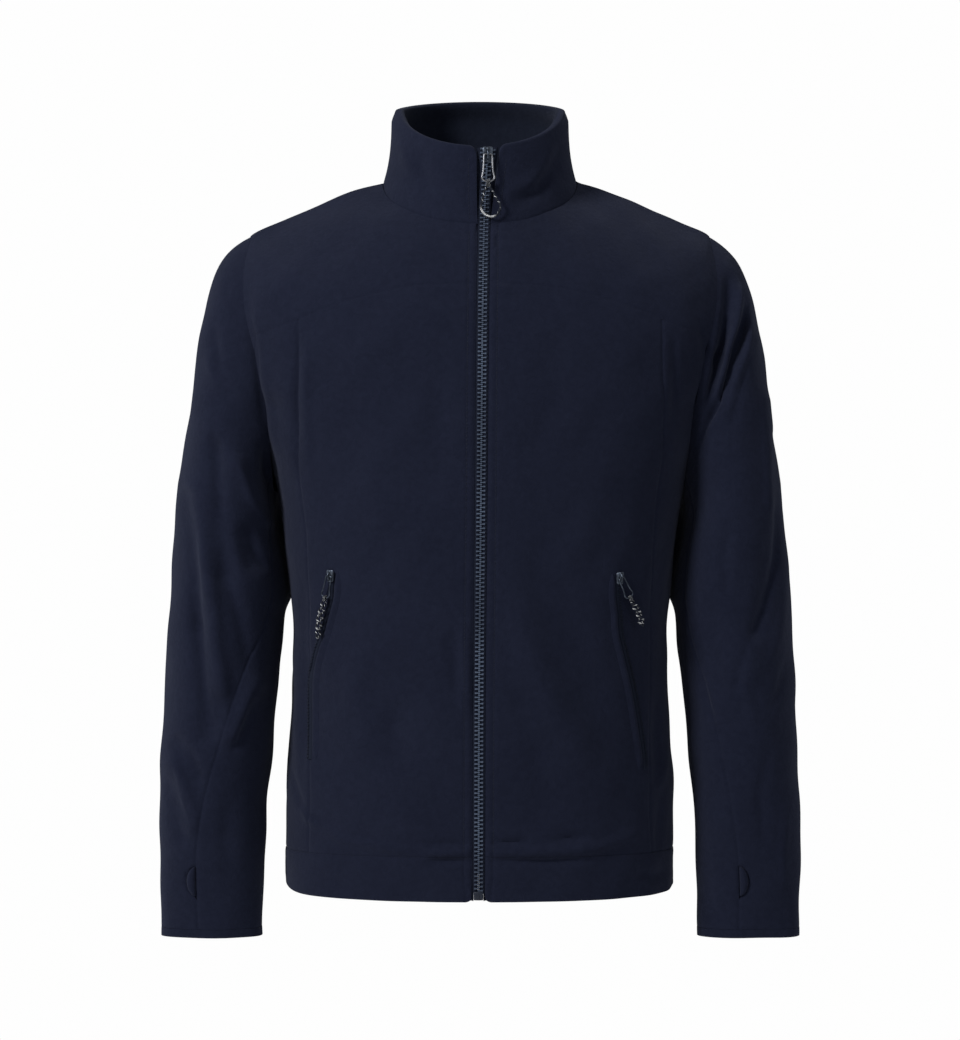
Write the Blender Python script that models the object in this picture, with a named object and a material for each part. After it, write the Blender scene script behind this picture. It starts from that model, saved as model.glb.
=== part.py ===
"""Fleece zip jacket, filled out as worn with nobody in it.

Metres, +Z up, the front faces -Y and the wearer's left is +X. The origin lies on the
zip line at the height where the shoulder seams meet the collar.
"""
import math
from collections import namedtuple

import bmesh
import bpy
import numpy as np
from mathutils import Matrix, Vector
from mathutils.bvhtree import BVHTree

MM = 0.001

SHARP_ANGLE = math.radians(60)
WELD = 1e-6
BISECTIONS = 40

# Cloth
WALL = 2.2 * MM
COLLAR_WALL = 4.4 * MM
HEM_PROUD = 0.5 * MM
SEAM_GAP = 0.3 * MM
CLEAR = 0.8 * MM

# Main lines of the torso, as drops below the origin
NECK_DROP = -6.0
SHOULDER_DROP = 47.0
UNDERARM_DROP = 302.0
HEM_SEAM_DROP = 656.0
HEM_DROP = 698.0

# Small steps for a surface's slope, as an angle, a drop in mm and a sleeve level
FORM_STEP = (1e-3, 0.05)
FOLDED_STEP = (2e-3, 0.1)
SLEEVE_FORM_STEP = (2e-3, 2e-3)
SLEEVE_FOLDED_STEP = (4e-3, 4e-3)
COLLAR_STEP = (1e-3, 1e-2)

# Mesh fineness
ARM_STEPS = 12
YOKE_STEP = 5
BODY_ROWS = 12
FRONT_COLUMNS = 6
SIDE_COLUMNS = 3
NECK_STEPS = 6
SHOULDER_STEPS = 3
BACK_COLUMNS = 2 * (NECK_STEPS + SHOULDER_STEPS)
SIDE_BACK_COLUMNS = 5
SLEEVE_CAP_ROWS = 6
SEAM_FRONT_STEP = 10
SEAM_BACK_STEP = 16

Section = namedtuple("Section", "drop half_width front back front_rise back_rise square")
TORSO = (
    Section(-6, 97, 88, 75, -48, 16, 2.0),
    Section(3, 126, 97, 87, -55, 3, 2.1),
    Section(16.5, 161, 105, 98, -61, -9, 2.2),
    Section(30, 194.5, 112, 108, -68, -22, 2.3),
    Section(47, 229, 118, 115, -73, -31, 2.3),
    Section(70, 240, 122, 120, -72, -34, 2.4),
    Section(100, 244.5, 126, 124, -66, -32, 2.4),
    Section(150, 238.5, 129.5, 128, -50, -24, 2.4),
    Section(200, 228, 132, 130, -33, -14, 2.4),
    Section(250, 216, 133.5, 130, -16, -6, 2.4),
    Section(302, 202.5, 134.5, 128, 0, 0, 2.4),
    Section(350, 195.3, 135, 124, 0, 0, 2.4),
    Section(400, 189.8, 135, 120, 0, 0, 2.4),
    Section(450, 186.5, 134.5, 117, 0, 0, 2.4),
    Section(500, 187, 134, 116, 0, 0, 2.4),
    Section(550, 190, 133, 117, 0, 0, 2.4),
    Section(600, 193.5, 132, 119, 1, 0, 2.4),
    Section(650, 193.5, 130, 121, 2, 0, 2.4),
    Section(702, 192.5, 127, 122, 0.5, 0, 2.4),
)

# The armhole's widest angle off the side line, and how much narrower it gets lower down
ARMHOLE_ANGLE = 0.545
ARMHOLE_TOP_SHARE = 1.05
ARMHOLE_TAPER = 0.30

Cuff = namedtuple("Cuff", "z outer inner depth middle behind square")
SLEEVE = (
    Cuff(-315, 300.3, 203.6, 75, 0, 20, 2.1),
    Cuff(-350, 304.6, 197.2, 74.5, 0, 22, 2.1),
    Cuff(-395, 308.3, 191.9, 73, -1, 16, 2.1),
    Cuff(-418, 310.1, 195.0, 72, -2, 6, 2.1),
    Cuff(-450, 311.6, 196.7, 70, -4, 0, 2.1),
    Cuff(-482, 313.2, 200.0, 67.5, -7, 0, 2.1),
    Cuff(-514, 314.2, 203.5, 64.5, -10, 0, 2.1),
    Cuff(-546, 315.6, 205.8, 61, -13, 0, 2.1),
    Cuff(-578, 317.1, 208.5, 57, -16, 0, 2.1),
    Cuff(-610, 318.0, 211.3, 52, -18, 0, 2.15),
    Cuff(-642, 318.2, 213.0, 46, -20, 0, 2.2),
    Cuff(-674, 317.9, 214.3, 40, -21, 0, 2.3),
    Cuff(-706, 317.0, 215.3, 34.5, -21, 0, 2.4),
    Cuff(-746, 315.7, 215.3, 29.5, -21, 0, 2.4),
)
SLEEVE_TOP_TILT = 22
SLEEVE_TILT_END = -470
SLEEVE_TILT_SPAN = 155
LEVEL_MM = 100

# How the sleeve leaves the armhole and enters its first full ring
CapLean = namedtuple("CapLean", "out out_gain front down down_gain inward")
CAP_LEAN = CapLean(0.134, 0.808, 0.34, 0.397, 0.58, 0.19)
CAP_FIRST_LEVEL = 6e-3
CAP_START_PULL = 0.246
CAP_END_PULL = 0.454
SLEEVE_ROW_Z = (-350, -385, -418, -450, -482, -514, -546, -578, -610, -642,
                -667, -671, -678, -685, -692, -699, -703, -718, -733)
CUFF_TOP_Z = -733
CUFF_END_Z = -741.5
CUFF_PROUD = 0.6 * MM

# Where each sleeve's front seam runs, as an angle from the outer side round the front
SeamTurn = namedtuple("SeamTurn", "z left right back")
SLEEVE_SEAMS = (
    SeamTurn(-315, 150, 150, 240),
    SeamTurn(-430, 143, 134, 244),
    SeamTurn(-491, 130, 112, 248),
    SeamTurn(-560, 117, 94, 250),
    SeamTurn(-610, 110, 83, 252),
    SeamTurn(-668, 104, 76, 254),
    SeamTurn(-746, 102, 77, 256),
)
THUMB_Z = -685.0
THUMB_HALF_HEIGHT = 15.0
THUMB_WIDTH = 10.0
THUMB_BULGE = 3.0
THUMB_GAP = 0.7
THUMB_COLUMNS = 5
THUMB_ROUND = 0.6
FOREARM_RADIUS = 50.0

# Collar, measured at the outside of its top edge
COLLAR_TOP_WIDTH = 88.5
COLLAR_TOP_FRONT = 82.0
COLLAR_TOP_BACK = 79.0
COLLAR_TOP_SIDE_Z = 82.0
COLLAR_TOP_FRONT_Z = 36.0
COLLAR_TOP_BACK_Z = 98.0
COLLAR_FLARE = 3.0
COLLAR_SADDLE = 1.15
COLLAR_SLOPE_RANGE = (0.01, 0.98)
COLLAR_EDGE_POWER = 6
COLLAR_TOP_ROUND = 1.6
COLLAR_ROWS = (0.0, 0.12, 0.3, 0.5, 0.72, 0.9)
COLLAR_ROUND_STEPS = 4

# Zip line, as the sideways place of its middle at each height
ZipPoint = namedtuple("ZipPoint", "z x")
ZIP_LINE = (
    ZipPoint(-702, -1.5), ZipPoint(-520, -1.0), ZipPoint(-320, 0.8), ZipPoint(-120, 2.6),
    ZipPoint(-42, 4.0), ZipPoint(36, 8.0),
)
FRONT_EDGE = 6.2
COLLAR_EDGE = 11.5
CHAIN_HALF = 4.3
CHAIN_FACE = 0.5
TAPE_HALF = 15.0
TAPE_THICKNESS = 0.8
ZIP_CALM = 28.0
TAPE_CLEAR = 0.9
ZIP_BOX_Z = -691.5
ZIP_FOOT_Z = -687.0
ZIP_COLLAR_Z = (-24.0, -4.0, 15.0, 20.0, 26.0, 33.0)
ZIP_PART_Z = 15.0
ZIP_PART_SPAN = 10.0
ZIP_PART_WIDTH = 3.2
TEETH_GAP = 0.15
COLLAR_TAPE_GAP = 0.6
TAPE_SHORTEST = 0.3

# Panel seams on the front: the princess seam's distance from the middle, the yoke seam's height
PRINCESS = ((-150, 177), (-200, 178.5), (-260, 178), (-340, 170), (-420, 167), (-580, 166), (-702, 170))
YOKE_SEAM = ((0, -101), (57, -102.5), (100, -110), (150, -124), (185, -138), (230, -152))

# Soft folds on the front and back: a line in x and z, half width and height, all in mm
Fold = namedtuple("Fold", "face x0 z0 x1 z1 width height")
FOLD_FACING = 1.6
FOLD_END_LOW = 60
FOLD_END_HIGH = 50
FOLD_END_CUFF = 30
BODY_FOLDS = (
    Fold("front", 24, -437, 108, -561, 22, 3.5),
    Fold("front", 62, -403, 125, -556, 20, -3.0),
    Fold("front", 36, -508, 68, -600, 18, -2.5),
    Fold("front", -78, -512, -82, -552, 24, -3.0),
    Fold("front", -150, -462, -118, -540, 22, 2.5),
    Fold("front", -205, -220, -206, -290, 12, -4.0),
    Fold("front", 205, -220, 206, -290, 12, -4.0),
    Fold("back", -90, -120, -30, -330, 30, -3.0),
    Fold("back", 100, -140, 45, -350, 28, -3.0),
    Fold("back", -140, -420, -60, -600, 26, 3.0),
    Fold("back", 135, -410, 75, -590, 26, 3.0),
    Fold("back", 0, -480, 10, -640, 30, -3.0),
)
RIGHT_SLEEVE_FOLDS = (
    Fold("front", -283, -300, -266, -400, 11, 4.0),
    Fold("front", -266, -400, -252, -490, 11, 4.5),
    Fold("front", -287, -306, -278, -434, 9, -4.0),
    Fold("front", -278, -434, -268, -540, 9, -3.5),
    Fold("front", -260, -260, -250, -385, 10, -4.5),
    Fold("front", -238, -276, -210, -330, 10, 4.5),
    Fold("front", -230, -345, -222, -372, 10, -4.5),
    Fold("front", -222, -491, -243, -537, 10, 4.0),
    Fold("front", -302, -570, -286, -628, 9, 3.5),
    Fold("front", -306, -590, -292, -640, 8, -3.0),
    Fold("front", -297, -548, -280, -583, 8, -3.0),
    Fold("back", -268, -300, -250, -420, 14, -4.0),
    Fold("back", -240, -440, -290, -490, 13, 4.0),
    Fold("back", -235, -500, -285, -545, 12, -3.5),
    Fold("back", -290, -590, -250, -640, 12, 3.0),
)
LEFT_SLEEVE_FOLDS = (
    Fold("front", 250, -95, 238, -170, 9, -4.0),
    Fold("front", 238, -170, 224, -222, 8, -4.0),
    Fold("front", 264, -122, 244, -208, 8, -4.5),
    Fold("front", 258, -105, 240, -190, 8, 3.5),
    Fold("front", 268, -152, 250, -214, 8, 3.0),
    Fold("front", 283, -215, 291, -310, 11, 4.0),
    Fold("front", 291, -250, 296, -320, 9, -3.5),
    Fold("front", 294, -330, 272, -437, 10, -4.0),
    Fold("front", 240, -420, 262, -480, 14, 2.5),
    Fold("back", 268, -290, 250, -410, 14, -4.0),
    Fold("back", 238, -430, 288, -485, 13, 4.0),
    Fold("back", 240, -500, 290, -540, 12, -3.5),
    Fold("back", 292, -585, 248, -650, 12, 3.0),
)

# Pocket zips, from the slider down
LEFT_POCKET = ((134, -382), (133.5, -402), (135.5, -420), (137, -440), (143, -465), (150, -495),
               (156, -530), (160.5, -560), (161, -573))
RIGHT_POCKET = ((-143.5, -380), (-144.5, -404), (-149, -422), (-154, -440), (-160, -458), (-165, -480),
                (-166, -505), (-166, -535), (-166, -563))
POCKET_STATIONS = 24
COIL_HALF = 2.4
LIP_HALF = 3.2
LIP_OFFSET = 6.2

# Cross-sections of what is laid on the front: share of the width and height in mm
COIL_CROWN = ((0.12, 1.5), (0.88, 1.5))
LIP_CROWN = ((0.15, 1.6), (0.5, 2.3), (0.85, 1.6))
RAY_START_Y = -0.5

# Boxes of the zips' hardware in mm: size and middle as lateral, inward and up, and the bevel
Box = namedtuple("Box", "size middle bevel")
ZIP_BOX = Box((9.4, 4.9, 7.6), (0, 1.3, 0), 0.6)
SLIDER_PLATE = Box((9.6, 1.5, 15), (0, -1.7, 0), 0.5)
SLIDER_POST = Box((3.0, 6.9, 3.2), (0, 1.15, 5.6), 0.3)
SLIDER_REAR = Box((9.0, 1.2, 13), (0, 4.8, 0.6), 0.4)

# Sliders and pulls, in the slider's own frame: lateral, inward and up
SLIDER_Z = 26.0
POCKET_SLIDER_SCALE = 0.78
HINGE_OUT = 4.0
BAIL_WIRE = 0.85
TAB_WIRE = 0.8
TAB_OUTLINE = ((3.4, 0), (4.0, -1.2), (4.3, -8), (4.6, -15), (5.2, -19), (6.2, -22.5), (5.2, -25.4),
               (2.6, -26.8))
TAB_FOOT = -27.2
KNOT_Z = -30.5
KNOT_SIZE = (2.6, 1.9, 2.1)
BAIL_ARCH = ((0, -1.4, -5.2), (0, -3.6, -5.2), (0, -5.7, -3.6), (0, -6.5, -1.0), (0, -6.3, 2.0),
             (0, -4.8, 4.6), (0, -3.0, 5.6), (0, -1.4, 5.6))
MAIN_CORD = ((1.6, 0, -32.7), (5.2, 0, -37.2), (7.5, 0, -43), (11.4, 0, -49.9), (11.0, 0, -54.6),
             (8.2, 0, -59.6), (3.0, 0, -61.6), (-3.0, 0, -59.6), (-6.6, 0, -55), (-7.0, 0, -50.5),
             (-5.2, 0, -43), (-3.8, 0, -37), (-1.6, 0, -32.7))
MAIN_CORD_POINTS = 34
MAIN_TILT = 4.5
POCKET_TILT = 2.5
POCKET_LEAN = {"left": -28.0, "right": 13.0}
POCKET_SLIDER_DOWN = 4.0
POCKET_SLIDER_LIFT = 1.75
CORD_RADIUS = 1.0
Twist = namedtuple("Twist", "length turns")
POCKET_CORD = {"left": Twist(24.0, 1.6), "right": Twist(33.0, 2.2)}
CORD_STEPS_PER_TURN = 7
POCKET_CORD_RADIUS = 1.9
POCKET_CORD_SWELL = 0.5
POCKET_CORD_DROP = 2.3
POCKET_CORD_BEND = 2.4
POCKET_CORD_SWAY = 1.5
ROUTE_STEPS = 24

NAVY = (0.0105, 0.0125, 0.024, 1.0)
TEETH = (0.03, 0.04, 0.06, 1.0)
METAL = (0.30, 0.31, 0.33, 1.0)
CORD_GREY = (0.05, 0.055, 0.07, 1.0)


def smooth_curve(stations, values):
    """A smooth curve through the given values that never swings past them."""
    x = np.asarray(stations, float)
    y = np.asarray(values, float)
    if x[0] > x[-1]:
        x = x[::-1]
        y = y[::-1]
    gap = np.diff(x)
    slope = np.diff(y) / gap
    turn = np.zeros_like(y)
    turn[0] = slope[0]
    turn[-1] = slope[-1]
    before = slope[:-1]
    after = slope[1:]
    same = before * after > 0
    weight_a = 2 * gap[1:] + gap[:-1]
    weight_b = gap[1:] + 2 * gap[:-1]
    safe_before = np.where(same, before, 1.0)
    safe_after = np.where(same, after, 1.0)
    mean = (weight_a + weight_b) / (weight_a / safe_before + weight_b / safe_after)
    turn[1:-1] = np.where(same, mean, 0.0)

    def at(place):
        place = np.clip(np.asarray(place, float), x[0], x[-1])
        k = np.clip(np.searchsorted(x, place, side="right") - 1, 0, len(gap) - 1)
        t = (place - x[k]) / gap[k]
        h00 = (1 + 2 * t) * (1 - t) ** 2
        h10 = t * (1 - t) ** 2
        h01 = t * t * (3 - 2 * t)
        h11 = t * t * (t - 1)
        return h00 * y[k] + h10 * gap[k] * turn[k] + h01 * y[k + 1] + h11 * gap[k] * turn[k + 1]

    return at


def column_curves(table, station, names):
    """One smooth curve for each named column of a table."""
    places = [getattr(row, station) for row in table]
    return {name: smooth_curve(places, [getattr(row, name) for row in table]) for name in names}


NECK_FRONT_Z = TORSO[0].front_rise - TORSO[0].drop
TORSO_AT = column_curves(TORSO, "drop", Section._fields[1:])
SLEEVE_AT = column_curves(SLEEVE, "z", Cuff._fields[1:])
SEAM_AT = column_curves(SLEEVE_SEAMS, "z", SeamTurn._fields[1:])
ZIP_X = smooth_curve([row.z for row in ZIP_LINE], [row.x for row in ZIP_LINE])
PRINCESS_X = smooth_curve([row[0] for row in PRINCESS], [row[1] for row in PRINCESS])
YOKE_Z = smooth_curve([row[0] for row in YOKE_SEAM], [row[1] for row in YOKE_SEAM])


def fold_height(folds, points, facing):
    """How far the folds lift the cloth, with points in metres and facing 1 front, -1 back."""
    lift = np.zeros(points.shape[:-1])
    for fold in folds:
        start = np.array([fold.x0, fold.z0]) * MM
        run = np.array([fold.x1 - fold.x0, fold.z1 - fold.z0]) * MM
        flat = points[..., [0, 2]] - start
        along = np.clip((flat @ run) / (run @ run), 0, 1)
        away = np.linalg.norm(flat - along[..., None] * run, axis=-1)
        side = facing if fold.face == "front" else -facing
        shown = np.clip(side * FOLD_FACING, 0, 1)
        lift += fold.height * MM * np.exp(-(away / (fold.width * MM)) ** 2) * shown
    return lift


def torso_form(angle, drop):
    """A point of the torso before folds: angle 0 front middle, +90 degrees wearer's left."""
    value = {name: curve(drop) for name, curve in TORSO_AT.items()}
    s = np.sin(angle)
    c = np.cos(angle)
    size = (np.abs(s) ** value["square"] + np.abs(c) ** value["square"]) ** (1 / value["square"])
    s = s / size
    c = c / size
    ahead = c > 0
    x = value["half_width"] * s
    y = -np.where(ahead, value["front"], value["back"]) * c
    z = -drop + np.where(ahead, value["front_rise"] * c, -value["back_rise"] * c)
    return np.stack([x, y, z], axis=-1) * MM


def torso_angle(x, drop):
    """The front's angle at a sideways place in mm."""
    square = TORSO_AT["square"](drop)
    q = np.clip(np.abs(x) / TORSO_AT["half_width"](drop), 0, 1)
    r = (1 - q ** square) ** (1 / square)
    return np.sign(x) * np.arctan2(q, r)


def front_place(x, z):
    """Angle and drop of the front's point at x and z in mm."""
    x = np.asarray(x, float)
    low = np.full(x.shape, float(NECK_DROP))
    high = np.full(x.shape, float(HEM_DROP))
    for _ in range(BISECTIONS):
        drop = (low + high) / 2
        height = torso_form(torso_angle(x, drop), drop)[..., 2] / MM
        above = height > z
        low = np.where(above, drop, low)
        high = np.where(above, high, drop)
    return torso_angle(x, low), low


def numeric_normal(form, a, b, step_a, step_b):
    """Outward unit normal of a two-way surface, from small steps."""
    along_a = form(a + step_a, b) - form(a - step_a, b)
    along_b = form(a, b + step_b) - form(a, b - step_b)
    normal = np.cross(along_a, along_b)
    return normal / np.maximum(np.linalg.norm(normal, axis=-1, keepdims=True), 1e-12)


def torso_folded(angle, drop):
    """A point of the torso's outer face with its folds."""
    base = torso_form(angle, drop)
    normal = -numeric_normal(torso_form, angle, drop, *FORM_STEP)
    facing = np.cos(angle)
    fade = np.clip((HEM_DROP - drop) / FOLD_END_LOW, 0, 1) * np.clip((drop - NECK_DROP) / FOLD_END_HIGH, 0, 1)
    beside_zip = np.clip((np.abs(base[..., 0]) / MM - ZIP_CALM) / ZIP_CALM, 0, 1)
    fade = fade * np.where(facing > 0, beside_zip, 1)
    lift = fold_height(BODY_FOLDS, base, facing) * fade
    return base + normal * lift[..., None]


def torso_wall(angle, drop, outward=0.0, inward=WALL):
    """Outer and inner points of torso cloth."""
    normal = -numeric_normal(torso_folded, angle, drop, *FOLDED_STEP)
    face = torso_folded(angle, drop)
    return face + normal * outward, face - normal * inward


def armhole_share(drop):
    """How far down the armhole a level lies, 0 at the shoulder and 1 at the underarm."""
    return np.clip((drop - SHOULDER_DROP) / (UNDERARM_DROP - SHOULDER_DROP), 0, 1)


def armhole_turn(drop):
    """The armhole's angle off the side line at a level."""
    share = armhole_share(drop)
    return ARMHOLE_ANGLE * np.sqrt(4 * share * (1 - share)) * (ARMHOLE_TOP_SHARE - ARMHOLE_TAPER * share)


def armhole_drops(first, last):
    """Levels at even steps round the armhole."""
    turn = np.pi * np.arange(first, last + 1) / ARM_STEPS
    return SHOULDER_DROP + (UNDERARM_DROP - SHOULDER_DROP) * (1 - np.cos(turn)) / 2


def sleeve_low(turn, z, side):
    """A point of the sleeve below the armhole; turn 0 outer, 90 degrees front, 180 inner."""
    value = {name: curve(z) for name, curve in SLEEVE_AT.items()}
    c = np.cos(turn)
    s = np.sin(turn)
    size = (np.abs(s) ** value["square"] + np.abs(c) ** value["square"]) ** (1 / value["square"])
    c = c / size
    s = s / size
    middle = (value["outer"] + value["inner"]) / 2
    half = (value["outer"] - value["inner"]) / 2
    rear = np.where(np.cos(turn) < 0, np.clip(-np.sin(turn), 0, 1), 0)
    behind = math.sqrt(2) * rear * np.sin(2 * turn) ** 2
    x = (middle + half * c - value["behind"] * behind) * side
    y = value["middle"] - value["depth"] * s
    fade = np.clip((z - SLEEVE_TILT_END) / SLEEVE_TILT_SPAN, 0, 1)
    height = z + SLEEVE_TOP_TILT * c * fade
    return np.stack(np.broadcast_arrays(x, y, height), axis=-1) * MM


def armhole_point(turn, side):
    """A point of the armhole at a turn of the sleeve."""
    share = (1 - np.cos(turn)) / 2
    drop = SHOULDER_DROP + (UNDERARM_DROP - SHOULDER_DROP) * share
    off = armhole_turn(drop) * np.where(np.sin(turn) >= 0, -1, 1)
    point = torso_folded((np.pi / 2 + off) * side, drop)
    return point + np.array([SEAM_GAP * side, 0, 0])


def sleeve_cap(turn, share, side):
    """The sleeve from the armhole, share 0, to its first full ring, share 1."""
    start = armhole_point(turn, side)
    end = sleeve_low(turn, np.full(np.shape(turn), SLEEVE[0].z, float), side)
    c = np.cos(turn)
    lower = (1 - c) / 2
    lean = CAP_LEAN
    out = np.stack([(lean.out + lean.out_gain * (1 - lower)) * side, -lean.front * np.sin(turn),
                    -(lean.down + lean.down_gain * lower)], axis=-1)
    out = out / np.linalg.norm(out, axis=-1, keepdims=True)
    up = np.stack([-lean.inward * c * side, 0 * c, 1 + 0 * c], axis=-1)
    reach = np.linalg.norm(end - start, axis=-1, keepdims=True)
    first = start + out * reach * CAP_START_PULL
    second = end + up * reach * CAP_END_PULL
    t = np.asarray(share)[..., None]
    return (start * (1 - t) ** 3 + first * 3 * t * (1 - t) ** 2 + second * 3 * t * t * (1 - t) + end * t ** 3)


def sleeve_form(turn, level, side):
    """The whole sleeve: level 0 to 1 is the cap, beyond it the level runs to the cuff."""
    turn, level = np.broadcast_arrays(np.asarray(turn, float), np.asarray(level, float))
    cap = sleeve_cap(turn, np.clip(level, 0, 1), side)
    low = sleeve_low(turn, height_of(level), side)
    return np.where((level < 1)[..., None], cap, low)


def level_of(z):
    """The sleeve level at a height in mm below the cap."""
    return 1 + (SLEEVE[0].z - z) / LEVEL_MM


def height_of(level):
    """The height in mm of a sleeve level, which stays the same all over the cap."""
    return SLEEVE[0].z - np.clip(level - 1, 0, None) * LEVEL_MM


def sleeve_folded(turn, level, side):
    """A point of the sleeve's outer face with its folds."""
    def form(a, b):
        return sleeve_form(a, b, side)
    base = form(turn, level)
    normal = numeric_normal(form, turn, level, *SLEEVE_FORM_STEP) * side
    folds = LEFT_SLEEVE_FOLDS if side > 0 else RIGHT_SLEEVE_FOLDS
    facing = np.sin(turn) * np.ones_like(base[..., 0])
    z = base[..., 2] / MM
    fade = np.clip((z - CUFF_TOP_Z) / FOLD_END_CUFF, 0, 1)
    lift = fold_height(folds, base, facing) * fade
    return base + normal * lift[..., None]


def sleeve_wall(turn, level, side, outward=0.0, inward=WALL):
    """Outer and inner points of sleeve cloth."""
    def form(a, b):
        return sleeve_folded(a, b, side)
    turn, level = np.broadcast_arrays(np.asarray(turn, float), np.asarray(level, float))
    inside = np.clip(level, CAP_FIRST_LEVEL, None)
    normal = numeric_normal(form, turn, inside, *SLEEVE_FOLDED_STEP) * side
    face = form(turn, level)
    return face + normal * outward, face - normal * inward


def collar_form(angle, height):
    """The collar's outer face: height 0 at the neck seam and 1 at the top edge."""
    base = torso_form(angle, np.full(np.shape(angle), NECK_DROP))
    s = np.sin(angle)
    c = np.cos(angle)
    ahead = c > 0
    top_y = np.where(ahead, COLLAR_TOP_FRONT, COLLAR_TOP_BACK)
    top_z = np.where(ahead, COLLAR_TOP_FRONT_Z, COLLAR_TOP_BACK_Z)
    z = COLLAR_TOP_SIDE_Z + (top_z - COLLAR_TOP_SIDE_Z) * np.abs(c) ** COLLAR_SADDLE
    top = np.stack([COLLAR_TOP_WIDTH * s, -top_y * c, z], axis=-1) * MM
    height = np.asarray(height, float)[..., None]
    lean = 1 - (1 - height) ** COLLAR_FLARE
    point = base * (1 - lean) + top * lean
    point[..., 2] = (base[..., 2:] * (1 - height) + top[..., 2:] * height)[..., 0]
    return point


def patch(bottom, top, left, right, across, down):
    """Fills four border curves in the surface's own two numbers; down 0 is the bottom."""
    u = across[None, :, None]
    v = down[:, None, None]
    edges = (1 - v) * bottom[None] + v * top[None] + (1 - u) * left[:, None] + u * right[:, None]
    corners = ((1 - u) * (1 - v) * bottom[0] + u * (1 - v) * bottom[-1]
               + (1 - u) * v * top[0] + u * v * top[-1])
    return edges - corners


def pulled_back(outer, inner, gap=SEAM_GAP / 2, sides="lrbt"):
    """Moves the borders of a grid in from its seams."""
    outer = outer.copy()
    inner = inner.copy()
    moves = {"b": (0, 1, True), "t": (-1, -2, True), "l": (0, 1, False), "r": (-1, -2, False)}
    for side in sides:
        edge, near, is_row = moves[side]
        rim = outer[edge] if is_row else outer[:, edge]
        inside = outer[near] if is_row else outer[:, near]
        way = inside - rim
        tangent = np.gradient(rim, axis=0)
        tangent /= np.linalg.norm(tangent, axis=-1, keepdims=True)
        way = way - tangent * np.sum(way * tangent, axis=-1, keepdims=True)
        way *= gap / np.linalg.norm(way, axis=-1, keepdims=True)
        if is_row:
            outer[edge] += way
            inner[edge] += way
        else:
            outer[:, edge] += way
            inner[:, edge] += way
    return outer, inner


def new_material(name, colour, roughness, metallic=0.0):
    """A plain Principled material, shared by the pieces that have it."""
    found = bpy.data.materials.get(name)
    if found:
        return found
    material = bpy.data.materials.new(name)
    material.use_nodes = True
    shader = material.node_tree.nodes["Principled BSDF"]
    shader.inputs["Base Color"].default_value = colour
    shader.inputs["Roughness"].default_value = roughness
    shader.inputs["Metallic"].default_value = metallic
    return material


def fleece():
    return new_material("navy fleece", NAVY, 0.95)


def teeth():
    return new_material("zip teeth", TEETH, 0.4)


def metal():
    return new_material("dull metal", METAL, 0.35, 1.0)


def cord_material():
    return new_material("flecked cord", CORD_GREY, 0.8)


def add_object(name, mesh, material):
    """Puts a mesh in the jacket's collection as a named piece."""
    mesh.materials.append(material)
    mesh.shade_smooth()
    mesh.set_sharp_from_angle(angle=SHARP_ANGLE)
    piece = bpy.data.objects.new(name, mesh)
    JACKET.objects.link(piece)
    return piece


def mesh_from(name, points, faces):
    """A mesh from points and faces, with its faces turned outward."""
    mesh = bpy.data.meshes.new(name)
    mesh.from_pydata([tuple(p) for p in points], [], faces)
    work = bmesh.new()
    work.from_mesh(mesh)
    bmesh.ops.recalc_face_normals(work, faces=work.faces)
    work.to_mesh(mesh)
    work.free()
    return mesh


def wall_piece(name, outer, inner, material, wrap=False):
    """A closed wall between two like grids; wrap joins the first and last columns."""
    rows, columns = outer.shape[:2]
    points = np.concatenate([outer.reshape(-1, 3), inner.reshape(-1, 3)])
    back = rows * columns
    spans = columns if wrap else columns - 1
    faces = []
    for j in range(rows - 1):
        for i in range(spans):
            a = j * columns + i
            b = j * columns + (i + 1) % columns
            c = b + columns
            d = a + columns
            faces.append((a, b, c, d))
            faces.append((back + d, back + c, back + b, back + a))
    for j in (0, rows - 1):
        for i in range(spans):
            a = j * columns + i
            b = j * columns + (i + 1) % columns
            faces.append((a, b, back + b, back + a))
    if not wrap:
        for i in (0, columns - 1):
            for j in range(rows - 1):
                a = j * columns + i
                b = a + columns
                faces.append((a, b, back + b, back + a))
    return add_object(name, mesh_from(name, points, faces), material)


def swept_piece(name, rings, material):
    """A closed solid through like closed cross-sections, capped at both ends."""
    count, around = rings.shape[:2]
    faces = []
    for j in range(count - 1):
        for i in range(around):
            a = j * around + i
            b = j * around + (i + 1) % around
            faces.append((a, b, b + around, a + around))
    faces.append(tuple(range(around)))
    faces.append(tuple(range((count - 1) * around, count * around)))
    return add_object(name, mesh_from(name, rings.reshape(-1, 3), faces), material)


def side_name(side):
    return "left" if side > 0 else "right"


def zip_edge(z, side, edge=FRONT_EDGE):
    """Sideways place of a front's edge beside the zip."""
    return ZIP_X(z) + edge * side


def edge_angle(drop, side):
    """Angle of a front's zip edge at a level."""
    z = torso_form(np.zeros_like(drop), drop)[..., 2] / MM
    return torso_angle(zip_edge(z, side), drop)


def princess_angle(drop, side):
    """Angle of the princess seam at a level."""
    return torso_angle(PRINCESS_X(-drop) * side, drop)


def yoke_place(x):
    """Angle and drop of the yoke seam at sideways places in mm."""
    return front_place(x, YOKE_Z(np.abs(x)))


def body_drops():
    """Levels from the underarm down to the hem seam."""
    return np.linspace(UNDERARM_DROP, HEM_SEAM_DROP, BODY_ROWS + 1)


def stack(angle, drop):
    return np.stack([angle, drop], axis=-1)


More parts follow.
